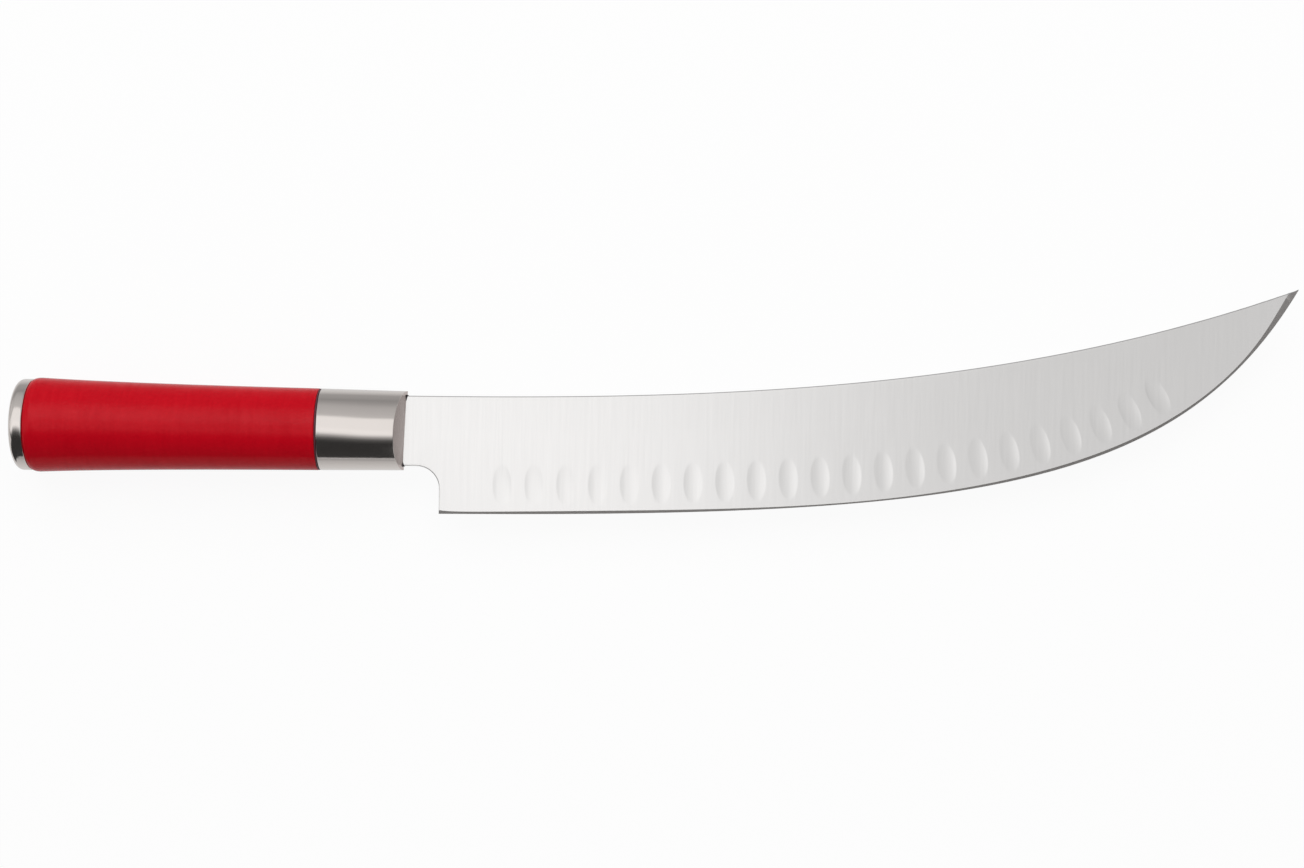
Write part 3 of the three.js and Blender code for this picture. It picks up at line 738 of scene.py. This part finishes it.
def slot_seal_skin(sizes, blade, rear):
    """Sealant round the blade's root. Its bead stands back in the slot, and proud at the slot's two ends."""
    mouth_half = sizes.slot_half - sizes.seal_gap / 2
    mouth_back = -sizes.slot_half * sizes.nose_depth / (radius_of("ferrule") - sizes.ferrule_taper)

    def bead_front(y):
        top = max(0, 1 - (blade.root_top - y) / sizes.bead_top_run)
        bottom = max(0, 1 - (y - blade.root_bottom) / sizes.bead_bottom_run)
        proud = (sizes.bead_recess + sizes.bead_proud) * min(1, top + bottom)
        return mouth_back + math.tan(sizes.nose_lean) * y - sizes.bead_recess + proud

    def loop(gap, half, place):
        """Points round the root at a gap from its ends, each at the place along the axis for its height."""
        heights = np.linspace(blade.root_bottom - gap, blade.root_top + gap, BEAD_STEPS + 1)
        round_trip = [(y, -half) for y in heights] + [(y, half) for y in heights[::-1]]
        return [(place(y), y, z) for y, z in round_trip]

    outer = sizes.slot_gap - sizes.seal_gap
    inner = sizes.seal_gap
    neck = -blade.shoulder - sizes.seal_gap
    face_half = blade.thickness / 2
    skin = Skin()
    skin.tube([
        loop(outer, blade.tang_half + outer, lambda y: rear),
        loop(outer, mouth_half, bead_front),
        loop((outer + inner) / 2, (mouth_half + face_half) / 2, lambda y: bead_front(y) + sizes.seal_gap),
        loop(inner, face_half, bead_front),
        loop(inner, face_half, lambda y: min(bead_front(y), neck) - sizes.seal_gap),
        loop(inner, blade.tang_half + inner, lambda y: min(bead_front(y), neck) - 2 * sizes.seal_gap),
        loop(inner, blade.tang_half + inner, lambda y: rear),
    ])
    return skin


def seam_ring_skin(sizes, rear, front, radius):
    return lathe_skin([
        (rear, sizes.ring_bore, 0),
        (rear, radius, sizes.ring_round),
        (front, radius, sizes.ring_round),
        (front, sizes.ring_bore, 0),
    ])


def grip_skin(sizes, rear, front, butt_radius, bore, counterbore, seat):
    """Moulded sleeve, bored for the potting, the core's spigot and the cap's skirt."""
    crest = rear + sizes.grip_rim_run
    side = sweep(
        front - rear,
        ((crest, butt_radius), -sizes.grip_butt_angle, sizes.grip_butt_pull),
        ((front, sizes.grip_front_radius), -sizes.grip_front_angle, sizes.grip_front_pull))
    turn = np.linspace(0, math.pi / 2, ROUND_STEPS + 1)
    rim_x = crest - sizes.grip_rim_run * np.cos(turn)
    rim_radius = butt_radius - sizes.grip_rim_drop * (1 - np.sin(turn))
    stations = np.linspace(0, CURVE_STEPS, GRIP_STEPS + 1).astype(int)[1:-1]
    floor = front - sizes.spigot_length
    corners = [(rear, counterbore, 0)]
    corners += [(x, radius, 0) for x, radius in zip(rim_x, rim_radius)]
    corners += [(x, radius, 0) for x, radius in side[stations]]
    corners += [
        (front, sizes.grip_front_radius, sizes.grip_front_round),
        (front, sizes.ring_bore, 0),
        (floor, sizes.ring_bore, 0),
        (floor, bore, 0),
        (seat, bore, 0),
        (seat, counterbore, 0),
    ]
    return lathe_skin(corners)


def end_cap_skin(sizes, rear, seam, skirt_front, radius, skirt_radius):
    """Turned cap with a skirt that goes into the grip."""
    skirt_bore = skirt_radius - sizes.cap_skirt_wall
    return lathe_skin([
        (rear, 0, 0),
        (rear, radius, sizes.cap_edge_round),
        (seam, radius, sizes.cap_seam_round),
        (seam, skirt_radius, 0),
        (skirt_front, skirt_radius, sizes.cap_seam_round),
        (skirt_front, skirt_bore, 0),
        (seam, skirt_bore, 0),
        (seam, 0, 0),
    ])


# Shaders

class Signal:
    """A socket's value. Arithmetic on it adds Math nodes to the shader."""

    def __init__(self, paint, socket):
        self.paint = paint
        self.socket = socket

    def maths(self, operation, first, second):
        return self.paint.node("ShaderNodeMath", {"operation": operation}, {0: first, 1: second})

    def __add__(self, other):
        return self.maths("ADD", self, other)

    __radd__ = __add__

    def __sub__(self, other):
        return self.maths("SUBTRACT", self, other)

    def __rsub__(self, other):
        return self.maths("SUBTRACT", other, self)

    def __mul__(self, other):
        return self.maths("MULTIPLY", self, other)

    __rmul__ = __mul__

    def __or__(self, other):
        """Either of two masks."""
        return self.maths("MAXIMUM", self, other)

    __ror__ = __or__


WHITE = (1, 1, 1, 1)
FULL_WHITE = 1.0  # strength of a light that shows as white
FINE_MARKS = (3.0, 0.6)  # detail and roughness of the noise for fine marks
SPREAD_OUT = ((0.3, 0.0), (0.7, 1.0))  # noise keeps near its middle, and this spreads it over 0 to 1
MIX_FIRST, MIX_SECOND, MIX_RESULT = 6, 7, 2  # sockets of a Mix node that hold colours


class Paint:
    """Adds the nodes of one shader."""

    def __init__(self, tree):
        self.tree = tree
        tree.nodes.clear()

    def node(self, kind, settings=None, inputs=None, output=0):
        """A new node with its settings, then the values or links of its sockets.

        Gives the output that is asked for, or None where the node has none.
        """
        made = self.tree.nodes.new(kind)
        for name, value in (settings or {}).items():
            if name == "stops":
                self.set_stops(made.color_ramp, value)
            else:
                setattr(made, name, value)
        for name, value in (inputs or {}).items():
            if isinstance(value, Signal):
                self.tree.links.new(value.socket, made.inputs[name])
            else:
                made.inputs[name].default_value = value
        return Signal(self, made.outputs[output]) if made.outputs else None

    def set_stops(self, ramp, stops):
        while len(ramp.elements) < len(stops):
            ramp.elements.new(1)
        for element, (position, value) in zip(ramp.elements, stops):
            element.position = position
            element.color = (value, value, value, 1)

    def place(self):
        """Place on the knife, from its own origin."""
        at = self.node("ShaderNodeTexCoord", output="Object")
        return self.node("ShaderNodeVectorMath", {"operation": "SUBTRACT"}, {0: at, 1: tuple(ORIGIN)})

    def axes(self, place):
        return [self.node("ShaderNodeSeparateXYZ", {}, {0: place}, axis) for axis in range(3)]

    def noise(self, place, pitches, detail=2.0, roughness=0.5):
        """An uneven pattern with a pitch along each axis."""
        counts = tuple(1 / pitch for pitch in pitches)
        counted = self.node("ShaderNodeVectorMath", {"operation": "MULTIPLY"}, {0: place, 1: counts})
        inputs = {"Vector": counted, "Scale": 1.0, "Detail": detail, "Roughness": roughness}
        return self.node("ShaderNodeTexNoise", {}, inputs)

    def turning(self, place, pitch):
        """Fine rings left by a lathe: round the axis on a side, and about the middle on an end."""
        x, y, z = self.axes(place)
        across = self.node("ShaderNodeCombineXYZ", {}, {"Y": y, "Z": z})
        radius = self.node("ShaderNodeVectorMath", {"operation": "LENGTH"}, {0: across}, "Value")
        detail, roughness = FINE_MARKS
        inputs = {"W": (x + radius) * (1 / pitch), "Scale": 1.0, "Detail": detail, "Roughness": roughness}
        return self.node("ShaderNodeTexNoise", {"noise_dimensions": "1D"}, inputs)

    def ramp(self, value, stops):
        """Level between (value, level) stops."""
        low, high = stops[0][0], stops[-1][0]
        placed = [((at - low) / (high - low), level) for at, level in stops]
        return self.node("ShaderNodeValToRGB", {"stops": placed}, {0: (value - low) * (1 / (high - low))})

    def shaded(self, factor, colour, darkest, lightest):
        """A colour between two levels of it."""
        inputs = {0: factor, MIX_FIRST: tone(colour, darkest), MIX_SECOND: tone(colour, lightest)}
        return self.node("ShaderNodeMix", {"data_type": "RGBA"}, inputs, MIX_RESULT)

    def bump(self, height, depth):
        return self.node("ShaderNodeBump", {}, {"Strength": 1.0, "Distance": depth, "Height": height})

    def emission(self, level):
        return self.node("ShaderNodeEmission", {}, {"Color": WHITE, "Strength": level})

    def between(self, factor, first, second):
        """A shader between two."""
        return self.node("ShaderNodeMixShader", {}, {0: factor, 1: first, 2: second})

    def show(self, shader):
        self.node("ShaderNodeOutputMaterial", {}, {"Surface": shader})

    def surface(self, inputs):
        self.show(self.node("ShaderNodeBsdfPrincipled", {}, inputs))

    def glow(self, share, full):
        """Shows a light that is full where the share is 1, and none where it is 0."""
        self.show(self.between(share, self.emission(0), self.emission(full)))


def new_paint(name):
    material = bpy.data.materials.new(name)
    material.use_nodes = True
    return material, Paint(material.node_tree)


def tone(colour, level):
    """A colour with each channel times a level, as shader sockets take it."""
    return tuple(min(1.0, channel * level) for channel in colour) + (1.0,)


# Finishes

GRIP_GLOSS = 0.02  # the red polymer itself mirrors far less than a plain plastic, whose value is 0.5
GRIP_SKIN_ROUGHNESS = 0.2  # of the thin satin skin on it


def marked_finish(name, colour, spread, pitches, roughness, relief, metallic=0.0, detail=FINE_MARKS):
    """A finish whose colour, roughness and relief follow one pattern of grain, scratches or flakes.

    The colour gets lighter and darker by the spread, and the roughness lies between its two values.
    """
    material, paint = new_paint(name)
    marks = paint.noise(paint.place(), pitches, *detail)
    least, most = roughness
    paint.surface({
        "Base Color": paint.shaded(marks, colour, 1 - spread, 1 + spread),
        "Metallic": metallic,
        "Roughness": least + marks * (most - least),
        "Normal": paint.bump(marks, relief),
    })
    return material


def ground_steel(colours):
    """Steel ground across the blade, with a faint fine grain and a little unevenness."""
    material, paint = new_paint("ground_steel")
    place = paint.place()
    grain = paint.noise(place, (0.16 * MM, 14 * MM, 14 * MM), *FINE_MARKS)
    streaks = paint.noise(place, (1.1 * MM, 30 * MM, 30 * MM))
    clouds = paint.noise(place, (45 * MM, 22 * MM, 22 * MM))
    lightness = paint.ramp(grain * 0.45 + streaks * 0.35 + clouds * 0.2, SPREAD_OUT)
    paint.surface({
        "Base Color": paint.shaded(lightness, colours.blade, 0.965, 1.035),
        "Metallic": 1.0,
        "Roughness": 0.15 + grain * 0.06 + clouds * 0.05,
        "Normal": paint.bump(grain * 0.7 + streaks * 0.3, 0.0012 * MM),
    })
    return material


def honed_steel(colours):
    """The bevel, honed along the edge, duller than the ground faces."""
    return marked_finish(
        "honed_steel", colours.bevel, spread=0.15, pitches=(2.5 * MM, 0.05 * MM, 0.05 * MM),
        roughness=(0.26, 0.42), relief=0.002 * MM, metallic=1.0)


def turned_steel(colours):
    """Turned and polished steel, which ferrule and cap share."""
    name = "turned_steel"
    if name in bpy.data.materials:
        return bpy.data.materials[name]
    material, paint = new_paint(name)
    place = paint.place()
    rings = paint.turning(place, 0.09 * MM)
    clouds = paint.noise(place, (9 * MM, 7 * MM, 7 * MM), detail=3.0)
    paint.surface({
        "Base Color": paint.shaded(rings, colours.fittings, 0.97, 1.03),
        "Metallic": 1.0,
        "Roughness": 0.09 + rings * 0.06 + clouds * 0.04,
        "Normal": paint.bump(rings, 0.0006 * MM),
    })
    return material


def ground_flats(colours):
    """The flats of the ferrule's nose, ground across and left a little duller."""
    return marked_finish(
        "ground_flats", colours.flats, spread=0.07, pitches=(0.1 * MM, 4 * MM, 0.1 * MM),
        roughness=(0.2, 0.32), relief=0.001 * MM, metallic=1.0)


def red_polymer(colours):
    """Moulded polymer with a fine even grain, under a thin and slightly uneven satin skin."""
    material, paint = new_paint("moulded_red")
    place = paint.place()
    grain = paint.noise(place, (1.0 * MM,) * 3, *FINE_MARKS)
    rings = paint.noise(place, (1.0 * MM, 9 * MM, 9 * MM), roughness=0.6)
    clouds = paint.noise(place, (30 * MM, 14 * MM, 14 * MM))
    shade = paint.ramp(grain * 0.4 + rings * 0.3 + clouds * 0.3, SPREAD_OUT)
    paint.surface({
        "Base Color": paint.shaded(shade, colours.grip, 0.88, 1.1),
        "Roughness": 0.1 + grain * 0.16 + rings * 0.08,
        "Specular IOR Level": GRIP_GLOSS,
        "Coat Weight": 0.02 + rings * 0.28 + grain * 0.22,
        "Coat Roughness": GRIP_SKIN_ROUGHNESS,
        "Normal": paint.bump(grain * 0.4 + rings * 0.6, 0.05 * MM),
    })
    return material


def dull_polymer(name, colour, roughness, pitch):
    """A plain moulded or cast material with a fine uneven surface."""
    return marked_finish(
        name, colour, spread=0.25, pitches=(pitch,) * 3,
        roughness=(roughness - 0.08, roughness + 0.08), relief=0.02 * MM)


def zinc_steel(colours):
    """Plated steel with the cloudy look of zinc."""
    return marked_finish(
        "zinc_plate", colours.zinc, spread=0.2, pitches=(1.4 * MM,) * 3,
        roughness=(0.3, 0.55), relief=0.004 * MM, metallic=1.0, detail=(4.0, 0.65))


# Studio

SOFTBOX_LEAN = math.radians(34)  # softbox from straight overhead, towards the spine
SOFTBOX_DISTANCE = 1.3
SOFTBOX_LENGTH = 1.4
SOFTBOX_WIDTH = 1.0
TENT_RADIUS = 3.5
TENT_LENGTH = 40.0
TENT_STEPS = 48
TENT_SPAN = (math.radians(-90.25), math.radians(90.25))  # down to the table top on both sides
# Share of white across the tent, by the degrees from overhead towards the spine
TENT_ACROSS = (
    (-100, 0.2), (-95, 0.07), (-86, 0.05), (-72, 0.03), (-40, 0.03), (-29, 0.09), (-20.5, 0.43), (-14, 0.95),
    (-11.5, 1.0), (-4, 1.0), (1, 0.945), (31, 0.945), (34.5, 0.57), (66, 0.475), (80, 0.36), (90, 0.31))
# Share of white along the tent, by the distance towards the tip in radii of the tent
TENT_ALONG = (
    (-5, 0.3), (-2.2, 0.85), (-0.5, 1.0), (-0.02, 1.0), (0.03, 0.975), (0.127, 0.755), (0.2, 0.665),
    (0.33, 0.65), (0.55, 0.63), (0.75, 0.45), (1.2, 0.28))
# Degrees by which the tent's pattern leans towards the spine: the least, the range above it, and the
# share of that range by the same distance
TENT_TWIST = -12
TENT_TWIST_RANGE = 24
TENT_TWISTED = (
    (-2.5, 0.0), (-1.2, 0.1), (-0.6, 0.6), (-0.4, 0.93), (-0.325, 0.96), (-0.15, 0.665), (-0.1, 0.5),
    (0.8, 0.5))
# Pale sides of the tent: their level, their shares by the degrees, and on the spine's side by the distance
TENT_SIDE_LEVEL = 0.62
TENT_EDGE_SIDE = ((-90, 1.0), (-52, 1.0), (-45, 0.0), (90, 0.0))
TENT_SPINE_SIDE = ((-90, 0.0), (34, 0.0), (42, 1.0), (90, 1.0))
TENT_CLEAR = ((-1.5, 1.0), (-0.6, 0.0), (0.4, 0.0), (0.65, 0.9), (1.6, 1.0))
# Black card beside the handle, on the edge's side: its distance from the axis, its top, and the height of
# its foot along it
FLAG_ASIDE = 0.05
FLAG_TOP = 0.066
FLAG_FOOT = ((-0.2, -0.015), (-0.15, -0.015), (-0.137, 0.0115), (-0.001, 0.0115))
FLAG_LEVEL = 0.035
TABLE_LENGTH = 8.0
TABLE_WIDTH = 7.0
TABLE_LIFT = 0.0002  # over the floor
# Brightness of the table top in shiny surfaces, by the distance from the axis towards the spine
TABLE_ACROSS = ((-0.25, 0.42), (-0.07, 0.62), (-0.03, 0.74), (0.03, 0.74), (0.055, 0.42), (0.25, 0.34))
FLOOR_SIZE = 8.0
# A sheet that is hidden from these rays shows in shiny surfaces, and neither lights the knife nor hides it
ALL_BUT_GLOSS = (
    "visible_camera", "visible_diffuse", "visible_transmission", "visible_volume_scatter", "visible_shadow")
PICTURE_WIDTH = 1304  # pixels
SENSOR_WIDTH = 36.0  # millimetres, as Blender counts it


def sheet(name, rows, hidden_from=()):
    """A new open sheet of the stage, through rows of points in the knife's own axes. Gives its paint."""
    mesh = bpy.data.meshes.new(name)
    count = len(rows[0])
    faces = [
        (i * count + j, i * count + j + 1, (i + 1) * count + j + 1, (i + 1) * count + j)
        for i in range(len(rows) - 1) for j in range(count - 1)]
    points = np.array(rows).reshape(-1, 3) + ORIGIN
    mesh.from_pydata(points.tolist(), [], faces)
    material, paint = new_paint(name)
    mesh.materials.append(material)
    made = bpy.data.objects.new(name, mesh)
    bpy.context.scene.collection.objects.link(made)
    for rays in hidden_from:
        setattr(made, rays, False)
    return paint


def level_rows(length, width, lift=0.0):
    """Corners of a level sheet, lifted from the floor."""
    height = FLOOR_HEIGHT - ORIGIN[Z] + lift
    return [[(x, y, height) for x in (-length / 2, length / 2)] for y in (-width / 2, width / 2)]


def hang_tent(stage):
    """Arch of cloth in shiny surfaces: bright overhead, dark beside the edge, dimmer towards the tip."""
    ends = (-TENT_LENGTH / 2, TENT_LENGTH / 2)
    leans = np.linspace(*TENT_SPAN, TENT_STEPS + 1)
    rows = [
        [(x, TENT_RADIUS * math.sin(lean), TENT_RADIUS * math.cos(lean)) for x in ends] for lean in leans]
    paint = sheet("tent", rows, ALL_BUT_GLOSS)
    x, y, z = paint.axes(paint.place())
    distance = x * (1 / TENT_RADIUS)
    degrees = paint.node("ShaderNodeMath", {"operation": "ARCTAN2"}, {0: y, 1: z}) * math.degrees(1)
    twist = paint.ramp(distance, TENT_TWISTED) * TENT_TWIST_RANGE + TENT_TWIST
    shade = paint.ramp(degrees - twist, TENT_ACROSS) * paint.ramp(distance, TENT_ALONG)
    spine_side = paint.ramp(degrees, TENT_SPINE_SIDE) * paint.ramp(distance, TENT_CLEAR)
    pale = paint.ramp(degrees, TENT_EDGE_SIDE) + spine_side
    paint.glow(shade * (1 - pale) + pale * TENT_SIDE_LEVEL, stage.tent_level)


def stand_flag():
    """The black card that shiny surfaces of the handle show."""
    foot = [(x, -FLAG_ASIDE, height) for x, height in FLAG_FOOT]
    top = [(x, -FLAG_ASIDE, FLAG_TOP) for x, _ in FLAG_FOOT]
    paint = sheet("flag", [foot, top], ALL_BUT_GLOSS)
    paint.show(paint.emission(FLAG_LEVEL))


def lay_table_top():
    """Sheet on the floor that shiny surfaces show: pale under the knife, greyer further away."""
    paint = sheet("table_top", level_rows(TABLE_LENGTH, TABLE_WIDTH, TABLE_LIFT), ALL_BUT_GLOSS)
    aside = paint.axes(paint.place())[Y]
    paint.glow(paint.ramp(aside, TABLE_ACROSS), FULL_WHITE)


def seen_plainly(paint):
    """1 for rays that show the backdrop as it is: straight from the camera, mirrored or through glass."""
    camera, glossy, transmission = [
        paint.node("ShaderNodeLightPath", output=rays)
        for rays in ("Is Camera Ray", "Is Glossy Ray", "Is Transmission Ray")]
    return camera | glossy | transmission


def lay_floor(stage, colours):
    """Pale floor that keeps the knife's shadow."""
    paint = sheet("floor", level_rows(FLOOR_SIZE, FLOOR_SIZE))
    dull = paint.node("ShaderNodeBsdfDiffuse", {}, {"Color": tone(colours.floor, 1)})
    paint.show(paint.between(seen_plainly(paint) * stage.floor_glow, dull, paint.emission(FULL_WHITE)))


def light_room(stage):
    """Even light from all round, which the camera and shiny surfaces see as white."""
    world = bpy.data.worlds.new("room")
    world.use_nodes = True
    paint = Paint(world.node_tree)
    dull, white = [
        paint.node("ShaderNodeBackground", {}, {"Color": WHITE, "Strength": level})
        for level in (stage.room_level, FULL_WHITE)]
    paint.node("ShaderNodeOutputWorld", {}, {"Surface": paint.between(seen_plainly(paint), dull, white)})
    bpy.context.scene.world = world


def hang_softbox(stage):
    """The lamp over the knife. The tent stands for it in shiny surfaces."""
    lamp = bpy.data.lights.new("softbox", "AREA")
    lamp.shape = "RECTANGLE"
    lamp.size = SOFTBOX_LENGTH
    lamp.size_y = SOFTBOX_WIDTH
    lamp.energy = stage.softbox_power
    softbox = bpy.data.objects.new("softbox", lamp)
    aside = SOFTBOX_DISTANCE * math.sin(SOFTBOX_LEAN)
    height = SOFTBOX_DISTANCE * math.cos(SOFTBOX_LEAN)
    softbox.location = ORIGIN + np.array([0, aside, height])
    softbox.rotation_euler = (-SOFTBOX_LEAN, 0, 0)
    softbox.visible_glossy = False
    bpy.context.scene.collection.objects.link(softbox)


def place_camera(stage):
    """Camera straight above the knife."""
    lens = bpy.data.cameras.new("camera")
    lens.sensor_fit = "HORIZONTAL"
    lens.sensor_width = SENSOR_WIDTH
    lens.lens = SENSOR_WIDTH * stage.pixels_per_metre * stage.camera_distance / PICTURE_WIDTH
    camera = bpy.data.objects.new("camera", lens)
    camera.location = ORIGIN + np.array([stage.camera_ahead, stage.camera_aside, stage.camera_distance])
    camera.rotation_euler = (0, 0, stage.camera_roll)
    bpy.context.scene.collection.objects.link(camera)
    bpy.context.scene.camera = camera


# Operators

class KNIFE_OT_blade(bpy.types.Operator):
    """Make the blade with its tang, bevel and hollows"""

    bl_idname = "knife.blade"
    bl_label = "Blade"

    def execute(self, context):
        scene = context.scene
        skin = blade_skin(
            scene.knife_blade, scene.knife_hollows, rear_of("blade"), nose_rear_of(scene.knife_handle))
        finishes = [ground_steel(scene.knife_colours), honed_steel(scene.knife_colours)]
        stand_in(skin.piece("ground_blade", finishes), "blade")
        return {"FINISHED"}


class KNIFE_OT_ferrule(bpy.types.Operator):
    """Make the ferrule with its slotted nose"""

    bl_idname = "knife.ferrule"
    bl_label = "Ferrule"

    def execute(self, context):
        scene = context.scene
        skin = ferrule_skin(scene.knife_handle, scene.knife_blade, rear_of("ferrule"), radius_of("ferrule"))
        finishes = [turned_steel(scene.knife_colours), ground_flats(scene.knife_colours)]
        stand_in(skin.piece("turned_ferrule", finishes), "ferrule")
        return {"FINISHED"}


class KNIFE_OT_seals(bpy.types.Operator):
    """Make the sealant in the slot and the ring between ferrule and grip"""

    bl_idname = "knife.seals"
    bl_label = "Seals"

    def execute(self, context):
        scene = context.scene
        sizes = scene.knife_handle
        sealant = dull_polymer("sealant", scene.knife_colours.seal, roughness=0.65, pitch=0.4 * MM)
        seam = dull_polymer("seam_sealant", scene.knife_colours.seam, roughness=0.55, pitch=0.4 * MM)
        bead = slot_seal_skin(sizes, scene.knife_blade, rear_of("slot_seal"))
        ring_radius = radius_of("ferrule") - sizes.ring_recess
        ring = seam_ring_skin(sizes, rear_of("seam_ring"), front_of("seam_ring"), ring_radius)
        stand_in(bead.piece("slot_bead", [sealant]), "slot_seal")
        stand_in(ring.piece("seam_band", [seam]), "seam_ring")
        return {"FINISHED"}


class KNIFE_OT_grip(bpy.types.Operator):
    """Make the moulded grip"""

    bl_idname = "knife.grip"
    bl_label = "Grip"

    def execute(self, context):
        scene = context.scene
        sizes = scene.knife_handle
        skin = grip_skin(
            sizes,
            rear_of("grip"),
            front_of("grip"),
            radius_of("grip"),
            radius_of("tang_potting") + sizes.fit_gap,
            radius_of("washer") + sizes.fit_gap,
            front_of("washer") + sizes.seat_gap)
        stand_in(skin.piece("moulded_grip", [red_polymer(scene.knife_colours)]), "grip")
        return {"FINISHED"}


class KNIFE_OT_end_cap(bpy.types.Operator):
    """Make the end cap"""

    bl_idname = "knife.end_cap"
    bl_label = "End cap"

    def execute(self, context):
        scene = context.scene
        sizes = scene.knife_handle
        skin = end_cap_skin(
            sizes,
            rear_of("end_cap"),
            rear_of("grip") - sizes.seat_gap,
            front_of("end_cap"),
            radius_of("end_cap"),
            radius_of("washer"))
        stand_in(skin.piece("turned_cap", [turned_steel(scene.knife_colours)]), "end_cap")
        return {"FINISHED"}


class KNIFE_OT_inner_pieces(bpy.types.Operator):
    """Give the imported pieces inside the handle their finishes"""

    bl_idname = "knife.inner_pieces"
    bl_label = "Inner pieces"

    def execute(self, context):
        colours = context.scene.knife_colours
        zinc = zinc_steel(colours)
        finishes = {
            "ferrule_core": dull_polymer("moulded_core", colours.core, roughness=0.55, pitch=0.6 * MM),
            "tang_potting": dull_polymer("cast_resin", colours.resin, roughness=0.32, pitch=3 * MM),
            "tang_stud": zinc,
            "washer": zinc,
            "tang_nut": zinc,
        }
        for node, material in finishes.items():
            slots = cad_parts[node].data.materials
            slots.clear()
            slots.append(material)
        return {"FINISHED"}


class KNIFE_OT_stage(bpy.types.Operator):
    """Lay the floor, hang the light and place the camera"""

    bl_idname = "knife.stage"
    bl_label = "Stage"

    def execute(self, context):
        scene = context.scene
        stage = scene.knife_stage
        scene.view_settings.view_transform = "Standard"
        lay_floor(stage, scene.knife_colours)
        light_room(stage)
        hang_softbox(stage)
        hang_tent(stage)
        stand_flag()
        lay_table_top()
        place_camera(stage)
        return {"FINISHED"}


OPERATORS = (
    KNIFE_OT_blade,
    KNIFE_OT_ferrule,
    KNIFE_OT_seals,
    KNIFE_OT_grip,
    KNIFE_OT_end_cap,
    KNIFE_OT_inner_pieces,
    KNIFE_OT_stage,
)


class KNIFE_PT_pieces(bpy.types.Panel):
    """The knife's pieces and their settings"""

    bl_idname = "KNIFE_PT_pieces"
    bl_label = "Butcher knife"
    bl_space_type = "VIEW_3D"
    bl_region_type = "UI"
    bl_category = "Knife"

    def draw(self, context):
        for operator in OPERATORS:
            self.layout.operator(operator.bl_idname)
        for name, group in SETTINGS.items():
            box = self.layout.box()
            for setting in group.__annotations__:
                box.prop(getattr(context.scene, name), setting)


CLASSES = (*SETTINGS.values(), *OPERATORS, KNIFE_PT_pieces)


def register():
    for kind in CLASSES:
        bpy.utils.register_class(kind)
    for name, group in SETTINGS.items():
        setattr(bpy.types.Scene, name, bpy.props.PointerProperty(type=group))


def unregister():
    for name in SETTINGS:
        delattr(bpy.types.Scene, name)
    for kind in reversed(CLASSES):
        bpy.utils.unregister_class(kind)


def main():
    register()
    bpy.ops.knife.blade()
    bpy.ops.knife.ferrule()
    bpy.ops.knife.seals()
    bpy.ops.knife.grip()
    bpy.ops.knife.end_cap()
    bpy.ops.knife.inner_pieces()
    bpy.ops.knife.stage()


if __name__ == "__main__":
    main()
